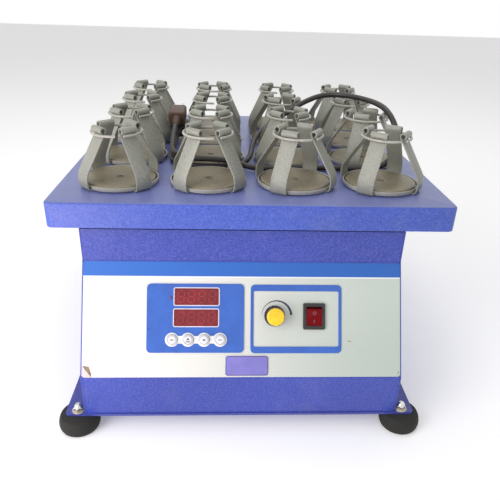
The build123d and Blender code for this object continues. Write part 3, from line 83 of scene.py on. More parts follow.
class Bench:
    """The modelling steps that every piece is made with."""

    @staticmethod
    def only(*objects: bpy.types.Object) -> None:
        """Selects these objects and nothing else; the first is the active one.

        Args:
            *objects: The objects to select.
        """
        bpy.ops.object.select_all(action="DESELECT")
        for obj in objects:
            obj.select_set(True)
        bpy.context.view_layer.objects.active = objects[0]

    @staticmethod
    def fresh(name: str) -> bpy.types.Object:
        """Names the primitive that was just added and lays its place into its mesh.

        Args:
            name: The piece's name.

        Returns:
            The new object, at the origin.
        """
        obj = bpy.context.active_object
        obj.name = name
        obj.data.name = name
        Bench.settle(obj)
        return obj

    @staticmethod
    def settle(obj: bpy.types.Object) -> None:
        """Applies an object's place, turn and scale to its mesh.

        Args:
            obj: The object to settle.
        """
        Bench.only(obj)
        bpy.ops.object.transform_apply(location=True, rotation=True, scale=True)

    @staticmethod
    @contextmanager
    def editing(obj: bpy.types.Object, kind: Pick) -> Iterator[None]:
        """Keeps an object in edit mode while its steps are made.

        Args:
            obj: The object to work on.
            kind: The element that is selected in the steps.
        """
        Bench.only(obj)
        bpy.ops.object.mode_set(mode="EDIT")
        bpy.ops.mesh.select_mode(type=kind.value)
        yield
        bpy.ops.object.mode_set(mode="OBJECT")

    @staticmethod
    def choose(obj: bpy.types.Object, kind: Pick, test: Test) -> int:
        """Selects the elements of the mesh in edit mode that pass a test.

        Args:
            obj: The object in edit mode.
            kind: The element to choose among.
            test: Takes the element's middle and its normal or direction.

        Returns:
            How many elements were selected.
        """
        mesh = bmesh.from_edit_mesh(obj.data)
        bpy.ops.mesh.select_mode(type=kind.value)
        bpy.ops.mesh.select_all(action="DESELECT")
        count = 0
        if kind is Pick.VERTICES:
            found = [(v, v.co, v.normal) for v in mesh.verts]
        elif kind is Pick.EDGES:
            found = [
                (e, (e.verts[0].co + e.verts[1].co) / 2, (e.verts[1].co - e.verts[0].co).normalized())
                for e in mesh.edges
            ]
        else:
            found = [(f, f.calc_center_median(), f.normal) for f in mesh.faces]
        for element, middle, direction in found:
            if test(middle, direction):
                element.select_set(True)
                count += 1
        bmesh.update_edit_mesh(obj.data)
        return count

    @staticmethod
    def modify(obj: bpy.types.Object, kind: str, **settings: object) -> None:
        """Adds a modifier and applies it.

        Args:
            obj: The object to change.
            kind: Blender's name of the modifier.
            **settings: The modifier's values.
        """
        Bench.only(obj)
        modifier = obj.modifiers.new(kind.title(), kind)
        for key, value in settings.items():
            setattr(modifier, key, value)
        bpy.ops.object.modifier_apply(modifier=modifier.name)

    @staticmethod
    def smooth(obj: bpy.types.Object, degrees: float = 35.0) -> None:
        """Shades an object smooth, with edges sharper than an angle kept crisp.

        Args:
            obj: The object to shade.
            degrees: The angle above which an edge stays crisp.
        """
        Bench.only(obj)
        bpy.ops.object.shade_smooth_by_angle(angle=math.radians(degrees))

    @staticmethod
    def tidy(obj: bpy.types.Object) -> None:
        """Merges doubled vertices and turns every face outwards.

        Args:
            obj: The object to tidy.
        """
        with Bench.editing(obj, Pick.VERTICES):
            bpy.ops.mesh.select_all(action="SELECT")
            bpy.ops.mesh.remove_doubles(threshold=0.000005)
            bpy.ops.mesh.normals_make_consistent(inside=False)

    @staticmethod
    def box(name: str, size: Sequence[float], middle: Sequence[float]) -> bpy.types.Object:
        """A box from its size and middle, in millimetres.

        Args:
            name: The piece's name.
            size: Width, depth and height.
            middle: The box's middle.

        Returns:
            The box, still to be shaped.
        """
        bpy.ops.mesh.primitive_cube_add(size=1.0, location=Vector(middle) * MM)
        bpy.context.active_object.scale = Vector(size) * MM
        return Bench.fresh(name)

    @staticmethod
    def turned(
        name: str, profile: Sequence[tuple[float, float]], sides: int = 48, closed: bool = False
    ) -> bpy.types.Object:
        """A piece turned about Z, drawn up ring by ring from a circle.

        Args:
            name: The piece's name.
            profile: Radius and height of each ring, in millimetres, from the bottom up.
            sides: The number of sides of each ring.
            closed: True for a hollow ring, whose profile comes back to its start.

        Returns:
            The turned piece.
        """
        radius, height = profile[0]
        fill = "NOTHING" if closed else "NGON"
        bpy.ops.mesh.primitive_circle_add(
            vertices=sides, radius=radius * MM, fill_type=fill, location=(0, 0, height * MM)
        )
        obj = Bench.fresh(name)
        rings = list(profile) + ([profile[0]] if closed else [])
        with Bench.editing(obj, Pick.VERTICES):
            bpy.ops.mesh.select_all(action="SELECT")
            for (last, low), (here, high) in zip(rings, rings[1:]):
                bpy.ops.mesh.extrude_region_move(
                    TRANSFORM_OT_translate={"value": (0, 0, (high - low) * MM)}
                )
                bpy.ops.transform.resize(
                    value=(here / last, here / last, 1.0), center_override=(0, 0, high * MM)
                )
        Bench.tidy(obj)
        return obj

    @staticmethod
    def plate(
        name: str, width: float, height: float, radius: float, low: float, high: float,
        border: float = 0.0, middle: Sequence[float] = (0.0, 0.0),
    ) -> bpy.types.Object:
        """A flat plate with rounded corners, or only its border, in millimetres.

        Args:
            name: The piece's name.
            width: Its size along X.
            height: Its size along Y.
            radius: The radius of its corners.
            low: The height of its underside.
            high: The height of its face.
            border: The width of the border to keep, or 0 for a whole plate.
            middle: The middle of the plate.

        Returns:
            The plate, flat in X and Y.
        """
        bpy.ops.mesh.primitive_plane_add(size=1.0, location=(middle[0] * MM, middle[1] * MM, low * MM))
        bpy.context.active_object.scale = (width * MM, height * MM, 1.0)
        obj = Bench.fresh(name)
        with Bench.editing(obj, Pick.VERTICES):
            bpy.ops.mesh.select_all(action="SELECT")
            bpy.ops.mesh.bevel(offset=radius * MM, segments=6, affect="VERTICES")
            if border:
                bpy.ops.mesh.select_mode(type="FACE")
                bpy.ops.mesh.select_all(action="SELECT")
                bpy.ops.mesh.inset(thickness=border * MM)
                bpy.ops.mesh.delete(type="FACE")
            bpy.ops.mesh.select_all(action="SELECT")
            bpy.ops.mesh.extrude_region_move(
                TRANSFORM_OT_translate={"value": (0, 0, (high - low) * MM)}
            )
        Bench.tidy(obj)
        return obj

    @staticmethod
    def patch(
        name: str, corners: Sequence[tuple[float, float]], low: float, high: float
    ) -> bpy.types.Object:
        """A thin flat piece of any outline, drawn corner by corner from a circle.

        Args:
            name: The piece's name.
            corners: The X and Y of each corner, counter-clockwise, in millimetres.
            low: The height of its underside.
            high: The height of its face.

        Returns:
            The patch.
        """
        count = len(corners)
        bpy.ops.mesh.primitive_circle_add(
            vertices=count, radius=1.0, fill_type="NGON", location=(0, 0, low * MM)
        )
        obj = Bench.fresh(name)
        with Bench.editing(obj, Pick.VERTICES):
            starts = [v.co.copy() for v in bmesh.from_edit_mesh(obj.data).verts]
            starts.sort(key=lambda co: math.atan2(co.y, co.x) % (2 * math.pi - 1e-4))
            for start, (x, y) in zip(starts, corners):
                target = Vector((x, y, low)) * MM
                Bench.choose(obj, Pick.VERTICES, lambda c, n, s=start: (c - s).length < 1e-5)
                bpy.ops.transform.translate(value=tuple(target - start))
            bpy.ops.mesh.select_mode(type="FACE")
            bpy.ops.mesh.select_all(action="SELECT")
            bpy.ops.mesh.extrude_region_move(
                TRANSFORM_OT_translate={"value": (0, 0, (high - low) * MM)}
            )
        Bench.tidy(obj)
        return obj

    @staticmethod
    def folded(
        name: str, width: float, path: Sequence[tuple[float, float]], thickness: float, edge: float
    ) -> bpy.types.Object:
        """A strip folded along a path in X and Z, drawn edge by edge and given its thickness.

        Args:
            name: The piece's name.
            width: The strip's width along Y, in millimetres.
            path: The X and Z of each fold in millimetres, along the middle of the sheet.
            thickness: The sheet's thickness.
            edge: How far its long edges are rounded.

        Returns:
            The folded strip.
        """
        (x0, z0), (x1, _) = path[0], path[1]
        bpy.ops.mesh.primitive_plane_add(size=1.0, location=((x0 + x1) / 2 * MM, 0, z0 * MM))
        bpy.context.active_object.scale = ((x1 - x0) * MM, width * MM, 1.0)
        obj = Bench.fresh(name)
        with Bench.editing(obj, Pick.EDGES):
            Bench.choose(obj, Pick.EDGES, lambda c, d: c.x > (x1 - 0.01) * MM and abs(d.y) > 0.9)
            for (ax, az), (bx, bz) in zip(path[1:], path[2:]):
                bpy.ops.mesh.extrude_region_move(
                    TRANSFORM_OT_translate={"value": ((bx - ax) * MM, 0, (bz - az) * MM)}
                )
            bpy.ops.mesh.select_all(action="SELECT")
            bpy.ops.mesh.normals_make_consistent(inside=False)
        Bench.modify(obj, "SOLIDIFY", thickness=thickness * MM, offset=0.0, use_even_offset=True)
        if edge:
            Bench.modify(
                obj, "BEVEL", width=edge * MM, segments=2, limit_method="ANGLE",
                angle_limit=math.radians(60), use_clamp_overlap=True,
            )
        return obj

    @staticmethod
    def repeat(name: str, pattern: bpy.types.Object, places: Sequence[Matrix]) -> bpy.types.Object:
        """Copies of one modelled piece at several places, joined, each from its own mesh.

        Args:
            name: The joined piece's name.
            pattern: The piece that is copied, which is used up.
            places: Where each copy goes.

        Returns:
            The joined piece.
        """
        copies = []
        for place in places:
            copy = bpy.data.objects.new(name, pattern.data.copy())
            copy.data.transform(place)
            bpy.context.scene.collection.objects.link(copy)
            copies.append(copy)
        bpy.data.objects.remove(pattern, do_unlink=True)
        return Bench.joined(name, copies)

    @staticmethod
    def joined(name: str, parts: Sequence[bpy.types.Object]) -> bpy.types.Object:
        """Several pieces made one.

        Args:
            name: The joined piece's name.
            parts: The pieces to join.

        Returns:
            The joined piece.
        """
        Bench.only(*parts)
        if len(parts) > 1:
            bpy.ops.object.join()
        obj = bpy.context.view_layer.objects.active
        obj.name = name
        obj.data.name = name
        return obj

    @staticmethod
    def moved(obj: bpy.types.Object, place: Matrix) -> bpy.types.Object:
        """Moves a piece's mesh to a place and leaves its object at the origin.

        Args:
            obj: The piece.
            place: The place and turn that its mesh takes.

        Returns:
            The same piece.
        """
        obj.matrix_world = place
        Bench.settle(obj)
        return obj

    @staticmethod
    def cut(obj: bpy.types.Object, tool: bpy.types.Object) -> None:
        """Takes one piece's volume out of another and removes the tool.

        Args:
            obj: The piece that is cut.
            tool: The shape that is taken out.
        """
        Bench.modify(obj, "BOOLEAN", operation="DIFFERENCE", object=tool, solver="EXACT")
        bpy.data.objects.remove(tool, do_unlink=True)


class Graph:
    """A material's node tree, with short names for the nodes that the finishes use."""

    def __init__(self, name: str) -> None:
        """Starts an empty material with one shader.

        Args:
            name: The material's name.
        """
        self.material = bpy.data.materials.new(name)
        self.material.use_nodes = True
        self.tree = self.material.node_tree
        self.tree.nodes.clear()
        self.shader = self.tree.nodes.new("ShaderNodeBsdfPrincipled")
        output = self.tree.nodes.new("ShaderNodeOutputMaterial")
        self.tree.links.new(self.shader.outputs["BSDF"], output.inputs["Surface"])

    def set(self, **values: object) -> None:
        """Sets plain values on the shader's own sockets.

        Args:
            **values: Socket names, with underscores for spaces, and their values.
        """
        for key, value in values.items():
            self.shader.inputs[key.replace("_", " ")].default_value = value

    def feed(self, socket: str, source: bpy.types.NodeSocket) -> None:
        """Links a source to one of the shader's sockets."""
        self.tree.links.new(source, self.shader.inputs[socket])

    def node(self, kind: str, **settings: object) -> bpy.types.Node:
        """Adds a node and sets its properties.

        Args:
            kind: Blender's name of the node type.
            **settings: The node's properties.

        Returns:
            The node.
        """
        made = self.tree.nodes.new(kind)
        for key, value in settings.items():
            setattr(made, key, value)
        return made

    def join(self, source: object, target: bpy.types.NodeSocket) -> None:
        """Links a socket to a target, or sets the target to a plain value.

        Args:
            source: A node socket or a value.
            target: The input socket.
        """
        if isinstance(source, bpy.types.NodeSocket):
            self.tree.links.new(source, target)
        else:
            target.default_value = source

    def place(
        self, stretch: Sequence[float] = (1, 1, 1), turn: Sequence[float] = (0, 0, 0),
        shift: Sequence[float] = (0, 0, 0),
    ) -> bpy.types.NodeSocket:
        """The piece's own coordinates in metres, shifted, turned or stretched for a pattern.

        Args:
            stretch: The scale along each axis.
            turn: The turn about each axis in degrees.
            shift: The shift along each axis in metres.

        Returns:
            The vector socket.
        """
        coordinates = self.node("ShaderNodeTexCoord")
        mapping = self.node("ShaderNodeMapping")
        mapping.inputs["Location"].default_value = shift
        mapping.inputs["Rotation"].default_value = [math.radians(a) for a in turn]
        mapping.inputs["Scale"].default_value = stretch
        self.tree.links.new(coordinates.outputs["Object"], mapping.inputs["Vector"])
        return mapping.outputs["Vector"]

    def noise(
        self, vector: bpy.types.NodeSocket, scale: float, detail: float = 2.0, roughness: float = 0.5,
        distortion: float = 0.0,
    ) -> bpy.types.NodeSocket:
        """A noise pattern.

        Args:
            vector: The coordinates.
            scale: Features per metre.
            detail: The number of finer layers.
            roughness: How strong the finer layers are.
            distortion: How far the pattern is warped.

        Returns:
            The pattern's value socket.
        """
        made = self.node("ShaderNodeTexNoise")
        self.tree.links.new(vector, made.inputs["Vector"])
        made.inputs["Scale"].default_value = scale
        made.inputs["Detail"].default_value = detail
        made.inputs["Roughness"].default_value = roughness
        made.inputs["Distortion"].default_value = distortion
        return made.outputs["Fac"]

    def math(self, operation: str, *values: object, clamp: bool = False) -> bpy.types.NodeSocket:
        """A sum, product or other step on numbers.

        Args:
            operation: Blender's name of the operation.
            *values: The sockets or numbers that it takes.
            clamp: True to hold the result between 0 and 1.

        Returns:
            The result socket.
        """
        made = self.node("ShaderNodeMath", operation=operation, use_clamp=clamp)
        for value, socket in zip(values, made.inputs):
            self.join(value, socket)
        return made.outputs["Value"]

    def ramp(self, value: bpy.types.NodeSocket, low: float, high: float) -> bpy.types.NodeSocket:
        """Spreads the part of a value between two limits over 0 to 1, smoothly.

        Args:
            value: The value to spread.
            low: Where the result is 0.
            high: Where the result is 1.

        Returns:
            The result socket.
        """
        made = self.node("ShaderNodeMapRange", interpolation_type="SMOOTHSTEP")
        self.tree.links.new(value, made.inputs["Value"])
        made.inputs["From Min"].default_value = low
        made.inputs["From Max"].default_value = high
        return made.outputs["Result"]

    def mix(self, share: object, first: object, second: object) -> bpy.types.NodeSocket:
        """Mixes two colours.

        Args:
            share: How much of the second colour is taken.
            first: A colour socket, or red, green and blue.
            second: A colour socket, or red, green and blue.

        Returns:
            The mixed colour's socket.
        """
        made = self.node("ShaderNodeMix", data_type="RGBA")
        self.join(share, made.inputs[0])
        for value, socket in ((first, made.inputs[6]), (second, made.inputs[7])):
            self.join(value if isinstance(value, bpy.types.NodeSocket) else (*value, 1.0), socket)
        return made.outputs[2]

    def along(self, direction: Sequence[float], origin: Sequence[float]) -> bpy.types.NodeSocket:
        """How far a point of the piece lies along a direction from an origin, in metres.

        Args:
            direction: The direction, of length 1.
            origin: The point that counts as 0.

        Returns:
            The distance socket.
        """
        made = self.node("ShaderNodeVectorMath", operation="DOT_PRODUCT")
        self.tree.links.new(self.place(shift=[-c for c in origin]), made.inputs[0])
        made.inputs[1].default_value = direction
        return made.outputs["Value"]

    def relief(self, height: bpy.types.NodeSocket, depth: float, strength: float = 1.0) -> None:
        """Lets a pattern raise the surface.

        Args:
            height: The pattern, from 0 to 1.
            depth: The height of its full range in metres.
            strength: How strongly it shades.
        """
        made = self.node("ShaderNodeBump")
        made.inputs["Strength"].default_value = strength
        made.inputs["Distance"].default_value = depth
        self.tree.links.new(height, made.inputs["Height"])
        self.tree.links.new(made.outputs["Normal"], self.shader.inputs["Normal"])


Colour = tuple[float, float, float]


def shade(colour: Colour, factor: float) -> Colour:
    """A colour made lighter or darker.

    Args:
        colour: Red, green and blue.
        factor: What each is multiplied by.

    Returns:
        The new colour, with no part over 1.
    """
    return (
        min(colour[0] * factor, 1.0), min(colour[1] * factor, 1.0), min(colour[2] * factor, 1.0)
    )


@dataclass(frozen=True)
class HammeredPaint:
    """Powder coat with the fine bumps of hammered paint, a little dust and a soft sheen, with painted light:
    a painted pale sheen on faces above a set height, painted shade in the pits of the bumps and painted
    glints on their peaks.
    """

    name: str
    colour: Colour
    # The colour of the painted glints on the peaks of the bumps.
    glint_colour: Colour
    grain: float = 620.0
    depth: float = 0.00026
    roughness: float = 0.34
    # How much of the painted glint colour the peaks of the bumps take.
    glint_share: float = 0.16
    # The dust colour, which faces above the set height also take as a painted pale sheen.
    dust: Colour = (0.26, 0.26, 0.30)
    dust_share: float = 0.10
    # The height above which faces get the painted pale sheen in the dust colour.
    sheen_above: float = 10.0

    def build(self) -> bpy.types.Material:
        """Makes the material.

        Returns:
            The material.
        """
        graph = Graph(self.name)
        fine = graph.noise(graph.place(), self.grain, 2.5, 0.55, 0.4)
        broad = graph.noise(graph.place(), 7.0, 3.0, 0.5)
        toned = graph.mix(graph.ramp(broad, 0.3, 0.7), shade(self.colour, 0.92), shade(self.colour, 1.08))
        # Painted shade and painted glints: the pits of the bumps are darkened and their peaks lightened,
        # following the same noise that raises the surface.
        pit_shaded = graph.mix(graph.ramp(fine, 0.48, 0.34), toned, shade(self.colour, 0.72))
        spots = graph.math("MULTIPLY", graph.ramp(fine, 0.50, 0.68), self.glint_share)
        glinted = graph.mix(spots, pit_shaded, self.glint_colour)
        film = graph.noise(graph.place(), 23.0, 5.0, 0.65)
        share = graph.math("MULTIPLY", graph.ramp(film, 0.5, 0.8), self.dust_share)
        # Painted sheen: faces above the set height take a 0.42 share of the dust colour, a painted pale
        # reflection on the top face. From here the share holds both the dust and the painted sheen.
        height = graph.along((0, 0, 1), (0, 0, 0))
        painted_top_sheen = graph.math("MULTIPLY", graph.math("GREATER_THAN", height, self.sheen_above), 0.42)
        share = graph.math("MAXIMUM", share, painted_top_sheen)
        graph.feed("Base Color", graph.mix(share, glinted, self.dust))
        rough = graph.math("MULTIPLY_ADD", film, 0.22, self.roughness - 0.11)
        graph.feed("Roughness", rough)
        graph.set(Specular_IOR_Level=0.5)
        graph.relief(fine, self.depth)
        return graph.material


@dataclass(frozen=True)
class Plastic:
    """Moulded plastic with a faint grain and handling marks."""

    name: str
    colour: Colour
    roughness: float = 0.35
    grain: float = 1400.0
    depth: float = 0.00002
    variation: float = 0.08
    coat: float = 0.0

    def build(self) -> bpy.types.Material:
        """Makes the material.

        Returns:
            The material.
        """
        graph = Graph(self.name)
        marks = graph.noise(graph.place(), 60.0, 4.0, 0.6)
        low, high = shade(self.colour, 1 - self.variation), shade(self.colour, 1 + self.variation)
        graph.feed("Base Color", graph.mix(graph.ramp(marks, 0.3, 0.7), low, high))
        graph.feed("Roughness", graph.math("MULTIPLY_ADD", marks, 0.16, self.roughness - 0.08))
        graph.set(Coat_Weight=self.coat, Coat_Roughness=0.08)
        graph.relief(graph.noise(graph.place(), self.grain, 2.0), self.depth)
        return graph.material


@dataclass(frozen=True)
class Metal:
    """Bare metal with machining lines along one direction and a few stains."""

    name: str
    colour: Colour
    roughness: float = 0.32
    lines: tuple[float, float, float] = (1.0, 1.0, 0.04)
    line_scale: float = 900.0
    metallic: float = 1.0

    def build(self) -> bpy.types.Material:
        """Makes the material.

        Returns:
            The material.
        """
        graph = Graph(self.name)
        brushed = graph.noise(graph.place(stretch=self.lines), self.line_scale, 3.0, 0.6)
        stains = graph.noise(graph.place(), 30.0, 4.0, 0.6)
        worn = graph.mix(graph.ramp(stains, 0.35, 0.75), self.colour, shade(self.colour, 0.72))
        shine = graph.math("MULTIPLY", brushed, 0.3)
        graph.feed("Base Color", graph.mix(shine, worn, shade(self.colour, 1.2)))
        graph.feed("Roughness", graph.math("MULTIPLY_ADD", brushed, 0.25, self.roughness - 0.1))
        graph.set(Metallic=self.metallic)
        graph.relief(brushed, 0.00002)
        return graph.material


@dataclass(frozen=True)
class Rubber:
    """Dark rubber, dusty where it has been handled."""

    name: str
    colour: Colour
    dust: Colour = (0.10, 0.095, 0.085)
    dust_share: float = 0.35
    roughness: float = 0.6

    def build(self) -> bpy.types.Material:
        """Makes the material.

        Returns:
            The material.
        """
        graph = Graph(self.name)
        film = graph.noise(graph.place(), 45.0, 5.0, 0.65)
        share = graph.math("MULTIPLY", graph.ramp(film, 0.45, 0.75), self.dust_share)
        graph.feed("Base Color", graph.mix(share, self.colour, self.dust))
        graph.feed("Roughness", graph.math("MULTIPLY_ADD", film, 0.25, self.roughness - 0.12))
        graph.relief(graph.noise(graph.place(), 900.0, 3.0), 0.00005)
        return graph.material


@dataclass(frozen=True)
class Overlay:
    """The printed panel sheet: blue band on top, ivory field, diamond hatch that fades in, and painted shade
    that darkens the field and the band towards the right.
    """

    name: str
    ivory: Colour = (0.80, 0.79, 0.74)
    # The darker, greener tone of the painted shade at the label's right.
    shaded_right: Colour = (0.56, 0.63, 0.57)
    band: Colour = (0.030, 0.150, 0.56)
    line: Colour = (0.86, 0.88, 0.90)
    hatch: Colour = (0.26, 0.31, 0.30)
    tear: Colour = (0.70, 0.58, 0.55)
    band_bottom: float = 0.0497
    line_width: float = 0.0014
    hatch_pitch: float = 0.0032
    tear_corner: tuple[float, float] = (-0.1845, -0.0665)
    tear_size: float = 0.0125

    def build(self) -> bpy.types.Material:
        """Makes the material.

        Returns:
            The material.
        """
        graph = Graph(self.name)
        origin = SLOPE.translation
        across = graph.along((1, 0, 0), origin)
        up = graph.along(tuple(SLOPE.col[1])[:3], origin)
        # Painted shade: the field darkens from the ivory at the left to a darker, greener tone at the right,
        # as if light fell from the left.
        field = graph.mix(graph.ramp(across, -0.10, 0.17), self.ivory, self.shaded_right)
        wave = math.pi / self.hatch_pitch
        rising = graph.math("SINE", graph.math("MULTIPLY", graph.math("ADD", across, up), wave))
        falling = graph.math("SINE", graph.math("MULTIPLY", graph.math("SUBTRACT", across, up), wave))
        nearest = graph.math(
            "MINIMUM", graph.math("ABSOLUTE", rising), graph.math("ABSOLUTE", falling)
        )
        lines = graph.ramp(nearest, 0.62, 0.12)
        fade_x = graph.ramp(across, -0.17, 0.12)
        fade_y = graph.ramp(up, 0.055, -0.050)
        sideways, upwards = graph.math("MULTIPLY", fade_x, 0.50), graph.math("ADD", fade_y, 0.18)
        strength = graph.math("MULTIPLY", sideways, upwards)
        field = graph.mix(graph.math("MULTIPLY", lines, strength, clamp=True), field, self.hatch)
        stains = graph.noise(graph.place(), 16.0, 5.0, 0.6)
        stained = graph.math("MULTIPLY", graph.ramp(stains, 0.62, 0.8), 0.15)
        field = graph.mix(stained, field, (0.45, 0.38, 0.28))
        reach = graph.math("SUBTRACT", graph.math("ADD", across, up), sum(self.tear_corner))
        field = graph.mix(graph.math("LESS_THAN", reach, self.tear_size), field, self.tear)
        in_line = graph.math("GREATER_THAN", up, self.band_bottom - self.line_width)
        in_band = graph.math("GREATER_THAN", up, self.band_bottom)
        colour = graph.mix(in_line, field, self.line)
        # Painted shade: the blue band darkens towards the right.
        band_shaded_right = graph.mix(graph.ramp(across, -0.15, 0.15), self.band, shade(self.band, 0.86))
        graph.feed("Base Color", graph.mix(in_band, colour, band_shaded_right))
        graph.feed("Roughness", graph.math("MULTIPLY_ADD", stains, 0.2, 0.30))
        graph.relief(graph.noise(graph.place(), 700.0, 2.0), 0.00003)
        return graph.material


@dataclass(frozen=True)
class Tinted:
    """The tinted, glossy front of a display or a lit switch."""

    name: str
    colour: Colour
    deep: Colour
    roughness: float = 0.14
    glow: float = 0.0
    coat: float = 0.35
    specular: float = 0.5

    def build(self) -> bpy.types.Material:
        """Makes the material.

        Returns:
            The material.
        """
        graph = Graph(self.name)
        cloud = graph.noise(graph.place(), 55.0, 3.0, 0.5)
        tone = graph.mix(graph.ramp(cloud, 0.3, 0.7), self.deep, self.colour)
        graph.feed("Base Color", tone)
        graph.feed("Roughness", graph.math("MULTIPLY_ADD", cloud, 0.1, self.roughness - 0.05))
        if self.glow:
            graph.feed("Emission Color", tone)
            graph.set(Emission_Strength=self.glow)
        graph.set(Coat_Weight=self.coat, Coat_Roughness=0.08, Specular_IOR_Level=self.specular)
        return graph.material


@dataclass(frozen=True)
class Board:
    """A coated circuit board with traces under the coat."""

    name: str
    colour: Colour = (0.03, 0.20, 0.09)

    def build(self) -> bpy.types.Material:
        """Makes the material.

        Returns:
            The material.
        """
        graph = Graph(self.name)
        traces = graph.node("ShaderNodeTexBrick")
        graph.tree.links.new(graph.place(), traces.inputs["Vector"])
        traces.inputs["Scale"].default_value = 90.0
        traces.inputs["Mortar Size"].default_value = 0.03
        plain, coppery = shade(self.colour, 0.8), shade(self.colour, 1.6)
        graph.feed("Base Color", graph.mix(traces.outputs["Fac"], plain, coppery))
        graph.feed("Roughness", graph.ramp(graph.noise(graph.place(), 50.0), -1.0, 3.0))
        graph.relief(traces.outputs["Fac"], 0.00005)
        return graph.material


class Finishes:
    """Every finish of the shaker, by the name that its pieces ask for."""

    def __init__(self) -> None:
        """Makes the materials."""
        made = [
            # The deck's top face gets a painted pale sheen in the dust colour.
            HammeredPaint(
                "deck_blue", (0.052, 0.100, 0.48), (0.34, 0.36, 0.78), dust_share=0.2,
                sheen_above=(DECK_TOP - 0.4) * MM,
            ),
            HammeredPaint("body_blue", (0.040, 0.066, 0.39), (0.31, 0.31, 0.76)),
            HammeredPaint("plate_blue", (0.052, 0.070, 0.34), (0.26, 0.26, 0.56)),
            HammeredPaint(
                "clamp_grey", (0.30, 0.305, 0.26), (0.39, 0.395, 0.345), grain=650.0, depth=0.00016,
                roughness=0.42, glint_share=0.25, dust=(0.22, 0.19, 0.14), dust_share=0.25,
            ),
            HammeredPaint(
                "seat_beige", (0.25, 0.215, 0.145), (0.36, 0.33, 0.25), grain=500.0, depth=0.00010,
                roughness=0.46, glint_share=0.2, dust=(0.12, 0.09, 0.06), dust_share=0.5,
            ),
            HammeredPaint(
                "wire_grey", (0.42, 0.41, 0.36), (0.62, 0.61, 0.56), grain=900.0, depth=0.00006,
                roughness=0.32, glint_share=0.3, dust=(0.20, 0.16, 0.12), dust_share=0.3,
            ),
            Rubber("foot_rubber", (0.010, 0.010, 0.008), dust=(0.025, 0.024, 0.020), roughness=0.8),
            Rubber("belt_rubber", (0.018, 0.018, 0.018)),
            Rubber("cord_black", (0.018, 0.014, 0.013), dust=(0.09, 0.06, 0.045), roughness=0.42),
            Rubber("plug_brown", (0.085, 0.048, 0.030), dust=(0.16, 0.11, 0.08), roughness=0.55),
            Rubber("connector_black", (0.016, 0.013, 0.012), dust=(0.08, 0.055, 0.04), roughness=0.5),
            Metal("bright_steel", (0.66, 0.65, 0.62), 0.22),
            Metal("plain_steel", (0.42, 0.42, 0.41), 0.38, (1.0, 0.05, 1.0)),
            Metal("cast_aluminium", (0.60, 0.61, 0.62), 0.42, (1.0, 1.0, 1.0), 500.0),
            Metal("washer_beige", (0.52, 0.46, 0.36), 0.45, metallic=0.4),
            Metal("screw_dark", (0.16, 0.14, 0.11), 0.5, metallic=0.5),
            Plastic("motor_black", (0.030, 0.030, 0.034), 0.4),
            Overlay("label_ivory"),
            Plastic("bezel_blue", (0.036, 0.125, 0.50), 0.3, coat=0.2),
            Tinted("window_red", (0.22, 0.011, 0.019), (0.17, 0.008, 0.014), coat=0.25, specular=0.4),
            Tinted("segment_red", (0.31, 0.020, 0.030), (0.24, 0.013, 0.021), 0.25),
            Plastic("ring_white", (0.80, 0.81, 0.82), 0.28),
            Plastic("button_white", (0.72, 0.73, 0.76), 0.3),
            Plastic("frame_white", (0.70, 0.68, 0.76), 0.3),
            Plastic("ink_dark", (0.025, 0.030, 0.060), 0.4),
            Plastic("ink_brown", (0.12, 0.075, 0.09), 0.4),
            Plastic("plate_lavender", (0.215, 0.195, 0.56), 0.34, coat=0.15),
            Plastic("plate_edge", (0.085, 0.062, 0.26), 0.4),
            Plastic("knob_black", (0.022, 0.022, 0.024), 0.4),
            Plastic("cap_yellow", (0.90, 0.58, 0.012), 0.26, coat=0.4),
            Plastic("switch_black", (0.028, 0.024, 0.024), 0.36),
            Tinted("rocker_red", (0.19, 0.002, 0.006), (0.13, 0.002, 0.004), 0.4, coat=0.0, specular=0.12),
            Plastic("mark_pale", (0.34, 0.13, 0.14), 0.4),
            Plastic("tear_brown", (0.27, 0.20, 0.14), 0.8, 600.0, 0.0001, 0.35),
            Plastic("lamp_violet", (0.10, 0.035, 0.16), 0.25),
            Board("board_green"),
            Plastic("module_black", (0.02, 0.02, 0.022), 0.35),
            Plastic("inlet_black", (0.022, 0.022, 0.024), 0.38),
        ]
        self.materials = {finish.name: finish.build() for finish in made}

    def dress(self, obj: bpy.types.Object, finish: str) -> None:
        """Gives a new piece its finish.

        Args:
            obj: The piece.
            finish: The finish's name.
        """
        obj.data.materials.clear()
        obj.data.materials.append(self.materials[finish])

    def dress_node(self, node: str, finish: str) -> None:
        """Gives a piece that comes from the CAD model its finish.

        Args:
            node: The CAD node's name.
            finish: The finish's name.
        """
        frame["nodes"][node].material_slots[0].material = self.materials[finish]


class Piece:
    """Puts a finished piece into the shaker."""

    def __init__(self, finishes: Finishes) -> None:
        """Keeps the finishes at hand.

        Args:
            finishes: The shaker's finishes.
        """
        self.finishes = finishes

    def fit(
        self, obj: bpy.types.Object, body: Body, finish: str, replaces: Sequence[str] = (),
    ) -> bpy.types.Object:
        """Dresses a piece, lets it ride and hides the CAD nodes that it stands for.

        Args:
            obj: The piece.
            body: The body that it rides on.
            finish: The finish that it shows.
            replaces: The CAD nodes that it stands for.

        Returns:
            The piece.
        """
        self.finishes.dress(obj, finish)
        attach(obj, body.value)
        if replaces:
            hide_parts(*replaces)
        LOG.info("%s rides on %s", obj.name, body.value)
        return obj


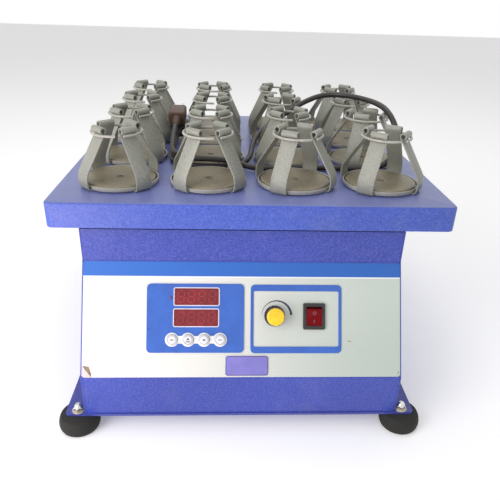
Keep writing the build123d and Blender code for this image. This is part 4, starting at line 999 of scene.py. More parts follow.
@dataclass
class Camera:
    """The camera at the photograph's place: angles in degrees, place in millimetres."""

    place: tuple[float, float, float] = (-32.4, -722.8, 475.2)
    pitch: float = 26.28
    yaw: float = 3.12
    roll: float = 1.90
    focal_pixels: float = 522.9
    picture_width: float = 500.0
    sensor: float = 36.0

    def build(self) -> bpy.types.Object:
        """Makes the camera and puts it in use.

        Returns:
            The camera.
        """
        pitch, yaw, roll = (math.radians(a) for a in (self.pitch, self.yaw, self.roll))
        ahead = Vector((
            math.sin(yaw) * math.cos(pitch), math.cos(yaw) * math.cos(pitch), -math.sin(pitch)
        ))
        level = Vector((math.cos(yaw), -math.sin(yaw), 0.0))
        upward = level.cross(ahead)
        right = math.cos(roll) * level + math.sin(roll) * upward
        top = -math.sin(roll) * level + math.cos(roll) * upward
        turn = Matrix((right, top, -ahead)).transposed().to_4x4()
        data = bpy.data.cameras.new("photo_camera")
        data.sensor_fit = "HORIZONTAL"
        data.sensor_width = self.sensor
        data.lens = self.focal_pixels / self.picture_width * self.sensor
        data.clip_start = 0.01
        camera = bpy.data.objects.new("photo_camera", data)
        bpy.context.scene.collection.objects.link(camera)
        camera.matrix_world = Matrix.Translation(Vector(self.place) * MM) @ turn
        bpy.context.scene.camera = camera
        return camera


@dataclass
class Studio:
    """The pale floor, the soft lamps and the light of the room."""

    floor_size: float = 14.0
    floor_colour: Colour = (0.93, 0.93, 0.93)

    def lamp(
        self, name: str, power: float, size: float, place: Sequence[float], colour: Colour
    ) -> None:
        """Adds one soft lamp that looks at the shaker's middle.

        Args:
            name: The lamp's name.
            power: Its power in watts.
            size: The side of its square in metres.
            place: Where it hangs, in metres.
            colour: The colour of its light.
        """
        data = bpy.data.lights.new(name, "AREA")
        data.energy = power
        data.size = size
        data.color = colour
        lamp = bpy.data.objects.new(name, data)
        bpy.context.scene.collection.objects.link(lamp)
        towards = Vector((0.0, 0.0, 0.2)) - Vector(place)
        lamp.location = place
        lamp.rotation_euler = towards.to_track_quat("-Z", "Y").to_euler()

    def surround(self) -> None:
        """Sets the room's light: white where it is seen, softer where it lights the piece."""
        world = bpy.data.worlds.new("room")
        world.use_nodes = True
        tree = world.node_tree
        background = tree.nodes["Background"]
        path = tree.nodes.new("ShaderNodeLightPath")
        seen = tree.nodes.new("ShaderNodeMath")
        seen.operation = "MAXIMUM"
        tree.links.new(path.outputs["Is Camera Ray"], seen.inputs[0])
        tree.links.new(path.outputs["Is Transmission Ray"], seen.inputs[1])
        glossy = tree.nodes.new("ShaderNodeMath")
        glossy.operation = "MAXIMUM"
        tree.links.new(seen.outputs["Value"], glossy.inputs[0])
        tree.links.new(path.outputs["Is Glossy Ray"], glossy.inputs[1])
        level = tree.nodes.new("ShaderNodeMapRange")
        tree.links.new(glossy.outputs["Value"], level.inputs["Value"])
        level.inputs["To Min"].default_value = 0.50
        level.inputs["To Max"].default_value = 1.0
        background.inputs["Color"].default_value = (1.0, 1.0, 1.0, 1.0)
        tree.links.new(level.outputs["Result"], background.inputs["Strength"])
        bpy.context.scene.world = world

    def floor(self) -> None:
        """Lays the plain pale floor."""
        bpy.ops.object.select_all(action="DESELECT")
        bpy.ops.mesh.primitive_plane_add(size=self.floor_size)
        floor = Bench.fresh("floor")
        graph = Graph("floor_pale")
        cloud = graph.noise(graph.place(), 3.0, 3.0)
        graph.feed(
            "Base Color", graph.mix(cloud, shade(self.floor_colour, 0.98), self.floor_colour)
        )
        graph.set(Roughness=0.8, Emission_Color=(1.0, 1.0, 1.0, 1.0), Emission_Strength=0.22)
        floor.data.materials.append(graph.material)

    def build(self) -> None:
        """Builds the whole studio."""
        bpy.context.scene.view_settings.view_transform = "Standard"
        self.surround()
        self.floor()
        self.lamp("window_left", 19.0, 1.2, (-1.3, -1.1, 0.9), (1.0, 0.98, 0.97))
        self.lamp("ceiling", 14.0, 1.8, (0.1, 0.5, 2.1), (1.0, 1.0, 1.0))
        self.lamp("fill_right", 1.0, 1.6, (1.6, -1.2, 0.9), (0.97, 0.98, 1.0))
        self.lamp("table_glow", 1.2, 0.3, (-0.46, -0.62, 0.12), (1.0, 0.84, 0.93))


@dataclass
class MainsLead:
    """The mains lead: one loose run over the deck, with its connector and its plug."""

    diameter: float = 7.5
    length: float = 977.0
    relief_length: float = 25.0
    relief_width: float = 12.5
    relief_tip: float = 9.0
    connector: tuple[float, float, float] = (27.0, 18.0, 44.0)
    plug: tuple[float, float, float] = (25.0, 20.0, 36.0)
    # The points of the lead's route from the deck's middle and top, in millimetres.
    route: tuple[tuple[float, float, float], ...] = (
        (-104.0, 8.0, 16.0), (-104.0, -14.0, 16.0), (-105.0, -37.0, 10.0), (-105.5, -60.0, 4.5),
        (-101.0, -83.0, 4.3), (-84.0, -100.0, 4.3), (-60.0, -102.3, 4.3), (-36.0, -101.5, 4.3),
        (-11.0, -95.0, 4.4), (1.0, -74.0, 8.5), (4.0, -50.0, 15.0), (9.0, -27.0, 23.0),
        (23.0, -8.0, 33.0), (44.0, 6.0, 44.5), (65.0, 17.0, 56.0), (87.0, 28.0, 66.5),
        (110.0, 33.5, 74.0), (134.0, 27.0, 76.5), (153.0, 10.0, 76.5), (166.0, -12.0, 76.5),
        (174.0, -37.0, 76.5), (180.0, -62.0, 74.0), (187.0, -82.0, 62.0), (191.5, -95.0, 42.0),
        (188.0, -101.0, 21.0), (172.0, -102.0, 6.5), (147.0, -103.3, 4.3), (122.0, -102.8, 4.3),
        (97.0, -101.0, 4.3), (72.0, -100.3, 4.3), (47.0, -102.2, 4.3), (23.0, -109.5, 4.3),
        (-1.0, -112.0, 6.5), (-24.0, -104.5, 12.6), (-48.0, -103.5, 14.3), (-72.0, -102.5, 14.3),
        (-93.0, -90.0, 14.3), (-103.5, -68.0, 14.6), (-105.0, -44.0, 20.5), (-105.0, -20.8, 29.6),
        (-105.0, 3.0, 32.5),
    )

    def points(self) -> list[Vector]:
        """The route's points in metres in the shaker's own frame."""
        return [Vector((x, DECK_MIDDLE_Y + y, DECK_TOP + z)) * MM for x, y, z in self.route]

    def run(self) -> bpy.types.Object:
        """Draws the lead itself as one smooth curve.

        Returns:
            The curve.
        """
        data = bpy.data.curves.new("lead_run", "CURVE")
        data.dimensions = "3D"
        data.resolution_u = 8
        data.bevel_depth = self.diameter / 2 * MM
        data.bevel_resolution = 4
        data.use_fill_caps = True
        spline = data.splines.new("NURBS")
        points = self.points()
        spline.points.add(len(points) - 1)
        for target, point in zip(spline.points, points):
            target.co = (*point, 1.0)
        spline.order_u = 3
        spline.use_endpoint_u = True
        obj = bpy.data.objects.new("lead_run", data)
        bpy.context.scene.collection.objects.link(obj)
        return obj

    def ending(self, name: str, size: Sequence[float], start: Vector, ahead: Vector) -> bpy.types.Object:
        """Models a moulded ending with its ribbed strain relief.

        Args:
            name: The piece's name.
            size: Width, height and length of the moulding in millimetres.
            start: Where the strain relief begins, in metres.
            ahead: The way the moulding points.

        Returns:
            The ending.
        """
        _, height, length = size
        body = Bench.box(name, size, (0, 0, self.relief_length + length / 2))
        with Bench.editing(body, Pick.EDGES):
            Bench.choose(body, Pick.EDGES, lambda c, d: abs(d.z) > 0.9)
            bpy.ops.mesh.bevel(offset=height * 0.22 * MM, segments=5, affect="EDGES")
            Bench.choose(body, Pick.FACES, lambda c, n: n.z < -0.9)
            bpy.ops.mesh.bevel(offset=2.4 * MM, segments=4, affect="EDGES")
            Bench.choose(body, Pick.FACES, lambda c, n: n.z > 0.9)
            bpy.ops.mesh.bevel(offset=0.8 * MM, segments=2, affect="EDGES")
        ribs = 6
        step = self.relief_length / ribs
        profile = []
        for i in range(ribs):
            share = i / ribs
            radius = (self.relief_tip + share * (self.relief_width - self.relief_tip)) / 2
            low = i * step
            profile += [
                (radius - 0.3, low), (radius, low + 0.15 * step), (radius, low + 0.6 * step),
                (radius - 0.8, low + 0.7 * step), (radius - 0.8, low + 0.92 * step),
            ]
        profile.append((self.relief_width / 2, self.relief_length + 0.5))
        relief = Bench.turned(name + "_relief", profile, 24)
        obj = Bench.joined(name, [body, relief])
        side = Vector((1, 0, 0))
        third = ahead.cross(side).normalized()
        turn = Matrix((side, third, ahead)).transposed().to_4x4()
        Bench.moved(obj, Matrix.Translation(start) @ turn)
        Bench.smooth(obj, 40)
        return obj

    def build(self, piece: Piece) -> None:
        """Args:
            piece: Fits the pieces to the shaker.
        """
        points = self.points()
        run = piece.fit(self.run(), Body.PLATFORM, "cord_black", ["power_cord"])
        connector = self.ending("lead_connector", self.connector, points[0], Vector((0, 1, 0)))
        piece.fit(connector, Body.PLATFORM, "connector_black", ["cord_connector"])
        ahead = (points[-1] - points[-2]).normalized()
        plug = self.ending("lead_plug", self.plug, points[-1], ahead)
        piece.fit(plug, Body.PLATFORM, "plug_brown", ["cord_plug"])
        piece.finishes.dress_node("plug_pins", "bright_steel")


@dataclass
class Deck:
    """The folded deck tray."""

    size: float = 457.0
    depth: float = 29.0
    sheet: float = 2.0
    corner: float = 9.0
    edge: float = 2.6

    def build(self, piece: Piece) -> None:
        """Makes the tray with its rounded folds.

        Args:
            piece: Fits the pieces to the shaker.
        """
        middle = (0, DECK_MIDDLE_Y, DECK_TOP - self.depth / 2)
        tray = Bench.box("deck_tray", (self.size, self.size, self.depth), middle)
        with Bench.editing(tray, Pick.EDGES):
            Bench.choose(tray, Pick.EDGES, lambda c, d: abs(d.z) > 0.9)
            bpy.ops.mesh.bevel(offset=self.corner * MM, segments=6, affect="EDGES")
            Bench.choose(tray, Pick.FACES, lambda c, n: n.z < -0.9)
            bpy.ops.mesh.delete(type="FACE")
            Bench.choose(tray, Pick.FACES, lambda c, n: n.z > 0.9)
            bpy.ops.mesh.region_to_loop()
            bpy.ops.mesh.bevel(offset=self.edge * MM, segments=4, affect="EDGES")
        Bench.modify(tray, "SOLIDIFY", thickness=self.sheet * MM, offset=-1.0, use_even_offset=True)
        Bench.smooth(tray, 30)
        piece.fit(tray, Body.PLATFORM, "deck_blue", ["deck"])


@dataclass
class FlaskClamps:
    """The sixteen spring clamps: arms with rolled tops, wire rings, seats, rims and screws."""

    pitch_x: float = 105.0
    pitch_y: float = 102.0
    turns: tuple[tuple[float, ...], ...] = (
        (-47.0, -40.0, -30.0, -36.0),
        (-42.0, -45.0, -50.0, -28.0),
        (-38.0, -48.0, -33.0, -52.0),
        (-44.0, -37.0, -55.0, -41.0),
    )
    arm_width: float = 20.0
    arm_thickness: float = 1.6
    root_radius: float = 33.0
    heel_radius: float = 47.4
    belly_radius: float = 49.4
    belly_height: float = 9.0
    waist_radius: float = 47.8
    waist_height: float = 20.0
    roll_radius: float = 4.1
    roll_centre: tuple[float, float] = (23.0, 64.7)
    roll_start: float = 210.0
    roll_angle: float = 285.0
    seat_radius: float = 42.0
    seat_thickness: float = 3.4
    seat_lift: float = 1.5
    rim_radius: float = 45.5
    rim_thickness: float = 1.5
    rim_height: float = 4.3
    wire: float = 3.0
    wire_radius: float = 28.7
    wire_drop: float = 3.0

    def spots(self) -> list[tuple[int, Vector, float]]:
        """Row, middle in metres and turn in degrees of each clamp.

        Returns:
            One group of three for each clamp, row by row from the front.
        """
        found = []
        for row, turns in enumerate(self.turns):
            for column, turn in enumerate(turns):
                x = (column - 1.5) * self.pitch_x
                y = DECK_MIDDLE_Y + (row - 1.5) * self.pitch_y
                found.append((row, Vector((x, y, DECK_TOP)) * MM, turn))
        return found

    def arm(self) -> bpy.types.Object:
        """Models one arm that points to +X, from its foot to its rolled top.

        Returns:
            The arm.
        """
        half = self.arm_thickness / 2
        path = [(self.root_radius, half), (self.heel_radius - 3.2, half)]
        for i in range(1, 6):
            angle = math.radians(-90 + 16 * i)
            path.append((self.heel_radius - 3.2 + 3.6 * math.cos(angle), half + 3.6 + 3.6 * math.sin(angle)))
        path += [
            (self.belly_radius - half - 0.25, self.belly_height - 2.0),
            (self.belly_radius - half, self.belly_height + 1.0),
            (self.belly_radius - half - 0.3, self.belly_height + 5.0),
            (self.waist_radius - half, self.waist_height),
        ]
        reach = self.roll_radius - half
        steps = 15
        for i in range(steps + 1):
            angle = math.radians(self.roll_start - self.roll_angle / steps * i)
            path.append((
                self.roll_centre[0] + reach * math.cos(angle), self.roll_centre[1] + reach * math.sin(angle)
            ))
        obj = Bench.folded("arm", self.arm_width, path, self.arm_thickness, 0.35)
        Bench.smooth(obj, 40)
        return obj

    def ring(self) -> bpy.types.Object:
        """Models the open wire ring.

        Returns:
            The ring, with its opening at +X.
        """
        gap = 9.0
        bpy.ops.mesh.primitive_circle_add(
            vertices=10, radius=self.wire / 2 * MM, fill_type="NGON",
            location=(self.wire_radius * MM, 0, 0), rotation=(math.radians(90), 0, 0),
        )
        obj = Bench.fresh("wire")
        with Bench.editing(obj, Pick.FACES):
            bpy.ops.mesh.select_all(action="SELECT")
            start = math.radians(gap)
            bpy.ops.transform.rotate(value=-start, orient_axis="Z", center_override=(0, 0, 0))
            bpy.ops.mesh.spin(
                steps=44, angle=2 * math.pi - 2 * start, center=(0, 0, 0), axis=(0, 0, 1)
            )
        Bench.tidy(obj)
        Bench.smooth(obj, 60)
        return obj

    def seat(self) -> bpy.types.Object:
        """Models the disc that a flask stands on.

        Returns:
            The seat at the origin.
        """
        low, high = 0.0, self.seat_thickness
        radius = self.seat_radius
        obj = Bench.turned("seat", [
            (radius - 0.5, low), (radius, low + 0.6), (radius, high - 1.4), (radius - 0.5, high - 0.5),
            (radius - 1.6, high), (radius - 6.0, high), (6.0, high - 0.25), (5.0, high - 0.5),
            (4.4, high - 0.9),
        ], 64)
        Bench.smooth(obj, 40)
        return obj

    def rim(self) -> bpy.types.Object:
        """Models the low hoop round a seat.

        Returns:
            The hoop at the origin.
        """
        outer, inner, high = self.rim_radius, self.rim_radius - self.rim_thickness, self.rim_height
        obj = Bench.turned("rim", [
            (inner, 0.2), (inner + 0.2, 0.0), (outer - 0.2, 0.0), (outer, 0.25), (outer, high - 0.4),
            (outer - 0.35, high), (inner + 0.35, high), (inner, high - 0.4),
        ], 64, closed=True)
        Bench.smooth(obj, 40)
        return obj

    def screw(self) -> bpy.types.Object:
        """Models a slotted countersunk screw.

        Returns:
            The screw at the origin.
        """
        obj = Bench.turned("screw", [(2.6, -1.2), (4.2, 0.0), (4.0, 0.35), (2.4, 0.62), (0.8, 0.7)], 24)
        Bench.cut(obj, Bench.box("slot", (10.0, 1.1, 1.6), (0, 0, 0.75)))
        Bench.smooth(obj, 30)
        return obj

    def build(self, piece: Piece) -> None:
        """Makes every clamp.

        Args:
            piece: Fits the pieces to the shaker.
        """
        spots = self.spots()
        for row in range(len(self.turns)):
            places = []
            for spot_row, middle, turn in spots:
                if spot_row == row:
                    for i in range(4):
                        turning = Matrix.Rotation(math.radians(turn + 90 * i), 4, "Z")
                        places.append(Matrix.Translation(middle) @ turning)
            arms = Bench.repeat(f"clamp_row_{row + 1}", self.arm(), places)
            piece.fit(arms, Body.PLATFORM, "clamp_grey", [f"clamp_arms_row_{row + 1}"])
        base = Vector((0, 0, self.arm_thickness * MM))
        level = [Matrix.Translation(m + base) for row, m, t in spots]
        raised = base + Vector((0, 0, self.seat_lift * MM))
        turned_level = [
            Matrix.Translation(m + raised) @ Matrix.Rotation(math.radians(t * 3), 4, "Z")
            for row, m, t in spots
        ]
        seats = Bench.repeat("seat_discs", self.seat(), turned_level)
        piece.fit(seats, Body.PLATFORM, "seat_beige", ["clamp_seats"])
        rims = Bench.repeat("clamp_rims", self.rim(), level)
        piece.fit(rims, Body.PLATFORM, "wire_grey")
        lift = Vector((0, 0, (self.seat_thickness - 0.75) * MM))
        screws = Bench.repeat(
            "seat_screws", self.screw(), [Matrix.Translation(lift) @ m for m in turned_level]
        )
        piece.fit(screws, Body.PLATFORM, "screw_dark")
        height = Vector((0, 0, (self.roll_centre[1] - self.wire_drop - self.wire / 2) * MM))
        rings = Bench.repeat("clamp_wires", self.ring(), [
            Matrix.Translation(m + height) @ Matrix.Rotation(math.radians(t - 45), 4, "Z")
            for row, m, t in spots
        ])
        piece.fit(rings, Body.PLATFORM, "wire_grey", ["clamp_rings"])


@dataclass
class Feet:
    """The rubber feet with their washers and cap nuts."""

    spacing_x: float = 389.0
    spacing_y: float = 482.0
    middle_x: float = -9.5
    floor_top: float = 22.0

    def places(self, lift: float = 0.0) -> list[Matrix]:
        """Where the feet stand.

        Args:
            lift: The height over the floor in millimetres.

        Returns:
            One place for each foot.
        """
        half_x, half_y = self.spacing_x / 2, self.spacing_y / 2
        return [
            Matrix.Translation(Vector((self.middle_x + sx * half_x, sy * half_y, lift)) * MM)
            for sy in (-1, 1) for sx in (-1, 1)
        ]

    def build(self, piece: Piece) -> None:
        """Makes the feet, washers and nuts.

        Args:
            piece: Fits the pieces to the shaker.
        """
        foot = Bench.turned("foot", [
            (17.0, 0.6), (18.0, 0.0), (21.0, 0.0), (22.2, 0.7), (23.4, 3.6), (24.0, 7.0), (23.9, 10.0),
            (23.2, 13.5), (22.2, 16.4), (21.2, 18.2), (20.0, 19.0),
        ], 48)
        Bench.smooth(foot, 40)
        feet = Bench.repeat("foot_pads", foot, self.places())
        piece.fit(feet, Body.BASE, "foot_rubber", ["rubber_feet"])
        washer = Bench.turned("washer", [(7.4, 0.0), (7.6, 0.3), (7.6, 1.0), (7.3, 1.3), (5.0, 1.3)], 32)
        Bench.smooth(washer, 30)
        washers = Bench.repeat("foot_washers", washer, self.places(self.floor_top))
        piece.fit(washers, Body.BASE, "washer_beige")
        nut = Bench.turned("nut", [(5.3, 1.3), (5.75, 1.7), (5.75, 5.2), (5.2, 5.7)], 6)
        dome = Bench.turned("dome", [
            (4.9, 5.4), (4.85, 6.4), (4.4, 7.8), (3.5, 9.0), (2.2, 9.8), (0.8, 10.0)
        ], 28)
        Bench.smooth(dome, 50)
        caps = Bench.repeat("foot_nuts", Bench.joined("cap", [nut, dome]), self.places(self.floor_top))
        piece.fit(caps, Body.BASE, "bright_steel", ["foot_bolts"])


@dataclass
class ControlPanel:
    """The printed and fitted details of the sloping panel, in millimetres on the slope."""

    bezel_face: float = 1.5
    window_face: float = 1.8
    bezel: tuple[float, float] = (-55.6, 1.4)
    bezel_size: tuple[float, float] = (112.0, 79.5)
    frame: tuple[float, float] = (61.3, 0.8)
    frame_size: tuple[float, float] = (106.4, 79.4)
    frame_opening: tuple[float, float] = (99.8, 64.4)
    frame_face: float = 1.3
    windows: tuple[tuple[float, float], ...] = ((-54.4, 26.2), (-54.9, 1.9))
    window_size: tuple[float, float] = (51.0, 19.4)
    digit_height: float = 13.2
    digit_width: float = 7.2
    digit_pitch: float = 11.9
    digit_slant: float = 7.0
    segment: float = 1.5
    buttons_x: float = -82.3
    buttons_pitch: float = 18.4
    buttons_y: float = -23.3
    button_radius: float = 6.2
    button_face: float = 4.5
    button_collar: tuple[float, float] = (-2.8, -1.8)
    button_stem_end: float = -9.8
    guide_radius: float = 8.1
    guide_band: float = 8.6
    guide_face: float = 2.3
    button_gap: float = 0.3
    knob: tuple[float, float] = (35.7, 4.6)
    knob_cap: tuple[float, float] = (17.3, 20.8)
    knob_cap_radius: float = 10.0
    knob_pointer: float = 62.0
    dial: tuple[float, float] = (38.3, 4.4)
    dial_radius: float = 17.3
    label_face: float = 0.5
    label_left: float = -184.5
    label_right: float = 184.5
    label_bottom: float = -66.5
    plate: tuple[float, float] = (4.0, -53.4)
    plate_size: tuple[float, float] = (49.0, 22.4)
    plate_face: float = 1.5
    lamp: tuple[float, float] = (-84.0, 25.0)
    switch: tuple[float, float] = (82.3, 3.9)
    rocker_pivot: float = -0.3
    rocker_turn: float = 12.0
    rocker_slant: float = 10.8
    rocker_mark: tuple[float, float] = (5.0, 4.37)

    def button_places(self) -> list[tuple[float, float]]:
        """The middle of each button."""
        return [(self.buttons_x + i * self.buttons_pitch, self.buttons_y) for i in range(4)]

    def bezel_plate(self) -> bpy.types.Object:
        """Models the blue plate round the windows and the buttons.

        Returns:
            The plate, with an opening for each of them.
        """
        width, height = self.bezel_size
        plate = Bench.plate(
            "bezel_plate", width, height, 5.0, self.label_face, self.bezel_face, middle=self.bezel
        )
        for x, y in self.windows:
            Bench.cut(plate, Bench.box("window", (*self.window_size, 6.0), (x, y, 1.0)))
        reach = self.button_radius + self.button_gap
        for x, y in self.button_places():
            hole = Bench.turned("hole", [(reach, -2.0), (reach, 4.0)], 40)
            Bench.cut(plate, Bench.moved(hole, Matrix.Translation(Vector((x, y, 0)) * MM)))
        return plate

    def frame_border(self) -> bpy.types.Object:
        """Models the blue border round the knob and the switch.

        Returns:
            The border in place.
        """
        width, height = self.frame_size
        border = Bench.plate(
            "frame_border", width, height, 5.0, self.label_face, self.frame_face, middle=self.frame
        )
        Bench.cut(border, Bench.plate("opening", *self.frame_opening, 2.0, -1.0, 3.0, middle=self.frame))
        return border

    def guide(self) -> bpy.types.Object:
        """Models the white guide: a ring round each button and a band between the rings.

        Returns:
            The guide in place, as one mesh.
        """
        low, high = self.bezel_face, self.guide_face
        inner = self.button_radius + self.button_gap
        pieces = []
        for x, y in self.button_places():
            ring = Bench.turned("ring", [
                (inner, low), (self.guide_radius, low), (self.guide_radius, high - 0.25),
                (self.guide_radius - 0.25, high), (inner, high),
            ], 40, True)
            pieces.append(Bench.moved(ring, Matrix.Translation(Vector((x, y, 0)) * MM)))
        length = self.buttons_pitch - 2 * inner - 0.4
        for x, y in self.button_places()[:-1]:
            middle = (x + self.buttons_pitch / 2, y, (low + high - 0.05) / 2)
            pieces.append(Bench.box("band", (length, self.guide_band, high - low - 0.05), middle))
        return Bench.joined("button_rings", pieces)

    def button(self, name: str) -> bpy.types.Object:
        """Models one button: a round cap on its collar and stem.

        Args:
            name: The piece's name.

        Returns:
            The button, about its own axis.
        """
        low, high = self.button_collar
        radius, face = self.button_radius, self.button_face
        cap = Bench.turned("cap", [
            (radius, high), (radius, face - 0.9), (radius - 0.15, face - 0.45), (radius - 0.45, face - 0.15),
            (radius - 0.9, face),
        ], 40)
        Bench.smooth(cap, 40)
        side = 15.0
        collar = Bench.box("collar", (side, side, high - low), (0, 0, (low + high) / 2))
        end = self.button_stem_end
        stem = Bench.box("stem", (5.0, 5.0, low - end), (0, 0, (low + end) / 2))
        return Bench.joined(name, [cap, collar, stem])

    def cap(self) -> bpy.types.Object:
        """Models the knob's yellow cap with the line that points to the scale.

        Returns:
            The cap on the knob's axis.
        """
        low, high = self.knob_cap
        radius = self.knob_cap_radius
        cap = Bench.turned("knob_top", [
            (radius - 0.3, low), (radius, low + 0.3), (radius, high - 1.2), (radius - 0.3, high - 0.6),
            (radius - 0.8, high - 0.2), (radius - 1.5, high),
        ], 56)
        line = Bench.box("line", (radius, 1.1, 0.9), (radius / 2, 0, high))
        turn = Matrix.Rotation(math.radians(self.knob_pointer), 4, "Z")
        Bench.cut(cap, Bench.moved(line, turn))
        Bench.smooth(cap, 30)
        return cap

    def fitted(self, piece: Piece) -> None:
        """Makes the plates, the guide, the buttons and the knob's cap.

        Args:
            piece: Fits the pieces to the shaker.
        """
        plate = Bench.moved(self.bezel_plate(), SLOPE)
        piece.fit(plate, Body.BASE, "bezel_blue", ["display_bezel"])
        border = Bench.moved(self.frame_border(), SLOPE)
        piece.fit(border, Body.BASE, "bezel_blue", ["control_frame"])
        blank = Bench.plate(
            "blank_face", *self.plate_size, 3.0, self.label_face, self.plate_face, middle=self.plate
        )
        piece.fit(Bench.moved(blank, SLOPE), Body.BASE, "plate_lavender", ["blank_plate"])
        piece.fit(Bench.moved(self.guide(), SLOPE), Body.BASE, "ring_white", ["button_guide"])
        riders = (Body.BUTTON_A, Body.BUTTON_B, Body.BUTTON_C, Body.BUTTON_D)
        for i, (rider, (x, y)) in enumerate(zip(riders, self.button_places())):
            home = SLOPE @ Matrix.Translation(Vector((x, y, 0)) * MM)
            button = Bench.moved(self.button(f"button_cap_{i + 1}"), home)
            piece.fit(button, rider, "button_white", [f"button_{i + 1}"])
        home = SLOPE @ Matrix.Translation(Vector((*self.knob, 0)) * MM)
        piece.fit(Bench.moved(self.cap(), home), Body.KNOB, "cap_yellow", ["knob_cap"])

    def surrounds(self) -> bpy.types.Object:
        """Models the pale frames round the two windows.

        Returns:
            Both frames as one mesh.
        """
        width, height = self.window_size
        frames = [
            Bench.plate(
                "surround", width + 2.2, height + 2.2, 2.4, self.bezel_face, self.bezel_face + 0.3,
                1.1, centre,
            )
            for centre in self.windows
        ]
        return Bench.joined("window_surrounds", frames)

    def segments(self) -> bpy.types.Object:
        """Models the dark segments of the digits behind the tinted windows.

        Returns:
            All the segments as one mesh.
        """
        bar = Bench.box("bar", (self.digit_width - self.segment, self.segment, 0.06), (0, 0, 0.03))
        with Bench.editing(bar, Pick.EDGES):
            Bench.choose(bar, Pick.EDGES, lambda c, d: abs(d.z) > 0.9)
            bpy.ops.mesh.bevel(offset=self.segment * 0.49 * MM, segments=1, affect="EDGES")
        half_w, half_h = self.digit_width / 2, self.digit_height / 2
        slots = [
            (0, half_h, 0), (0, 0, 0), (0, -half_h, 0), (-half_w, half_h / 2, 90),
            (half_w, half_h / 2, 90), (-half_w, -half_h / 2, 90), (half_w, -half_h / 2, 90),
        ]
        lean = Matrix.Identity(4)
        lean[0][1] = math.tan(math.radians(self.digit_slant))
        places = []
        for centre in self.windows:
            for i in range(4):
                x = centre[0] + (i - 1.5) * self.digit_pitch
                home = Matrix.Translation(Vector((x, centre[1], self.window_face)) * MM)
                for sx, sy, angle in slots:
                    spot = Matrix.Translation(Vector((sx, sy, 0)) * MM)
                    places.append(SLOPE @ home @ lean @ spot @ Matrix.Rotation(math.radians(angle), 4, "Z"))
        return Bench.repeat("display_segments", bar, places)

    def button_marks(self, piece: Piece) -> None:
        """Makes the thin ring and the plain mark on each button's face.

        Args:
            piece: Fits the pieces to the shaker.
        """
        low, high = self.button_face, self.button_face + 0.06
        bar = ((-1.9, -0.5), (1.9, -0.5), (1.9, 0.5), (-1.9, 0.5))
        low_bar = ((-2.6, -2.4), (2.6, -2.4), (2.2, -1.5), (-2.2, -1.5))
        arrows = (((-1.8, 0.0), (1.8, 0.0), (0.0, 2.6)), ((-1.9, 0.7), (0.0, -1.5), (1.9, 0.7)))
        riders = (Body.BUTTON_A, Body.BUTTON_B, Body.BUTTON_C, Body.BUTTON_D)
        for i, rider in enumerate(riders):
            home = SLOPE @ Matrix.Translation(
                Vector((self.buttons_x + i * self.buttons_pitch, self.buttons_y, 0)) * MM
            )
            ring = Bench.turned("ring", [(4.75, low), (5.1, low), (5.1, high), (4.75, high)], 48, True)
            marks = [ring]
            if rider is not Body.BUTTON_C:
                outline = low_bar if rider is Body.BUTTON_B else bar
                marks.append(Bench.patch("bar", outline, low, high))
            mark = Bench.moved(Bench.joined(f"button_mark_{i + 1}", marks), home)
            piece.fit(mark, rider, "ink_brown")
        for i, outline in enumerate(arrows):
            x = self.buttons_x + (i + 1) * self.buttons_pitch
            home = SLOPE @ Matrix.Translation(Vector((x, self.buttons_y, 0)) * MM)
            arrow = Bench.moved(Bench.patch(f"button_arrow_{i + 1}", outline, low, high), home)
            piece.fit(arrow, riders[i + 1], "ink_dark")

    def dial_scale(self) -> bpy.types.Object:
        """Models the printed arc round the knob, thin at its left end and broad at its right.

        Returns:
            The arc in place.
        """
        steps, sweep = 26, 175.0
        inner, outer = [], []
        for i in range(steps + 1):
            share = i / steps
            angle = math.radians(178.0 - sweep * share)
            width = 0.25 + 2.7 * share ** 1.2
            middle = self.dial_radius
            for points, reach in ((inner, middle - width / 2), (outer, middle + width / 2)):
                points.append((
                    self.dial[0] + reach * math.cos(angle), self.dial[1] + reach * math.sin(angle)
                ))
        outline = outer[::-1] + inner
        return Bench.patch("dial_scale", outline, self.label_face, self.label_face + 0.06)

    def torn_corners(self) -> bpy.types.Object:
        """Models the label's folded, torn corner at the left and the scuffs at the right.

        Returns:
            The flaps and scuffs as one mesh.
        """
        low, high = self.label_face, self.label_face + 0.12
        left, right, bottom = self.label_left, self.label_right, self.label_bottom
        flaps = (
            ((left + 0.3, bottom + 13.2), (left + 10.6, bottom + 0.5), (left + 10.9, bottom + 4.2),
             (left + 7.8, bottom + 12.4)),
            ((right - 3.2, bottom + 1.0), (right - 1.0, bottom + 6.5), (right - 2.4, bottom + 6.0)),
            ((right - 62.5, bottom + 41.5), (right - 59.2, bottom + 40.2), (right - 58.4, bottom + 41.0),
             (right - 61.4, bottom + 42.4)),
        )
        return Bench.joined("label_tears", [Bench.patch("tear", flap, low, high) for flap in flaps])

    def rocker_marks(self) -> bpy.types.Object:
        """Models the pale O and I on the rocker's two faces.

        Returns:
            Both marks as one mesh.
        """
        ring = Bench.turned("ring", [(1.5, 0.0), (2.1, 0.0), (2.1, 0.12), (1.5, 0.12)], 24, True)
        stroke = Bench.box("stroke", (0.7, 3.6, 0.12), (0, 0, 0.06))
        reach, height = self.rocker_mark
        for obj, side in ((ring, 1), (stroke, -1)):
            place = Matrix.Translation(Vector((0, side * reach, height)) * MM)
            Bench.moved(obj, place @ Matrix.Rotation(math.radians(side * self.rocker_slant), 4, "X"))
        pivot = Matrix.Translation(Vector((*self.switch, self.rocker_pivot)) * MM)
        turn = Matrix.Rotation(math.radians(self.rocker_turn), 4, "X")
        return Bench.moved(Bench.joined("rocker_marks", [ring, stroke]), SLOPE @ pivot @ turn)

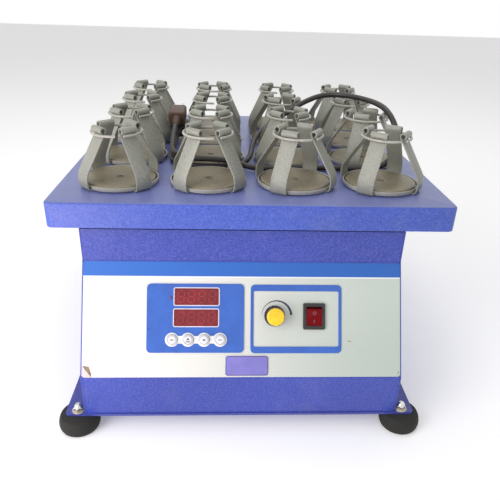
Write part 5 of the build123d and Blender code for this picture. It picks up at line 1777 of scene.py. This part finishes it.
    def build(self, piece: Piece) -> None:
        """Makes every detail of the panel.

        Args:
            piece: Fits the pieces to the shaker.
        """
        self.fitted(piece)
        surrounds = Bench.moved(self.surrounds(), SLOPE)
        piece.fit(surrounds, Body.BASE, "frame_white")
        piece.fit(self.segments(), Body.BASE, "segment_red")
        self.button_marks(piece)
        piece.fit(Bench.moved(self.dial_scale(), SLOPE), Body.BASE, "ink_dark")
        piece.fit(Bench.moved(self.torn_corners(), SLOPE), Body.BASE, "tear_brown")
        piece.fit(self.rocker_marks(), Body.ROCKER, "mark_pale")
        width, height = self.plate_size
        edge = Bench.plate(
            "plate_border", width, height, 2.6, self.plate_face, self.plate_face + 0.08, 0.8, self.plate
        )
        piece.fit(Bench.moved(edge, SLOPE), Body.BASE, "plate_edge")
        lamp = Bench.turned("status_lamp", [
            (1.5, self.bezel_face), (1.5, self.bezel_face + 0.25), (1.1, self.bezel_face + 0.5),
            (0.4, self.bezel_face + 0.6),
        ], 24)
        Bench.smooth(lamp, 40)
        home = SLOPE @ Matrix.Translation(Vector((*self.lamp, 0)) * MM)
        piece.fit(Bench.moved(lamp, home), Body.BASE, "lamp_violet")


class Carried:
    """The pieces that come from the CAD model as they are, and their finishes."""

    finishes_by_node = {
        "base_plate": "plate_blue", "front_cover": "body_blue", "side_cover_left": "body_blue",
        "side_cover_right": "body_blue", "rear_panel": "body_blue", "corner_posts": "plain_steel",
        "bearing_plate": "plain_steel", "power_inlet": "inlet_black", "control_board": "board_green",
        "display_modules": "module_black", "power_board": "board_green", "control_label": "label_ivory",
        "display_windows": "window_red", "speed_potentiometer": "module_black",
        "speed_shaft": "plain_steel", "knob_skirt": "knob_black", "switch_housing": "switch_black",
        "switch_rocker": "rocker_red", "bearing_housings": "cast_aluminium",
        "main_shaft": "bright_steel", "main_crank": "plain_steel",
        "idler_crank_1": "plain_steel", "idler_crank_2": "plain_steel", "idler_crank_3": "plain_steel",
        "driven_pulley": "cast_aluminium", "counterweight": "plain_steel",
        "motor_pulley": "cast_aluminium", "motor_shaft": "bright_steel", "drive_belt": "belt_rubber",
        "motor": "motor_black", "motor_bracket": "plain_steel", "platform_carrier": "cast_aluminium",
    }

    def build(self, piece: Piece) -> None:
        """Dresses each of them.

        Args:
            piece: Holds the finishes.
        """
        for node, finish in self.finishes_by_node.items():
            piece.finishes.dress_node(node, finish)
            LOG.info("%s keeps its CAD shape in %s", node, finish)


def main() -> None:
    """Builds the shaker's looks in order."""
    logging.basicConfig(level=logging.INFO, format="%(message)s")
    Camera().build()
    piece = Piece(Finishes())
    MainsLead().build(piece)
    Deck().build(piece)
    FlaskClamps().build(piece)
    Feet().build(piece)
    ControlPanel().build(piece)
    Carried().build(piece)
    Studio().build()


if __name__ == "__main__":
    main()
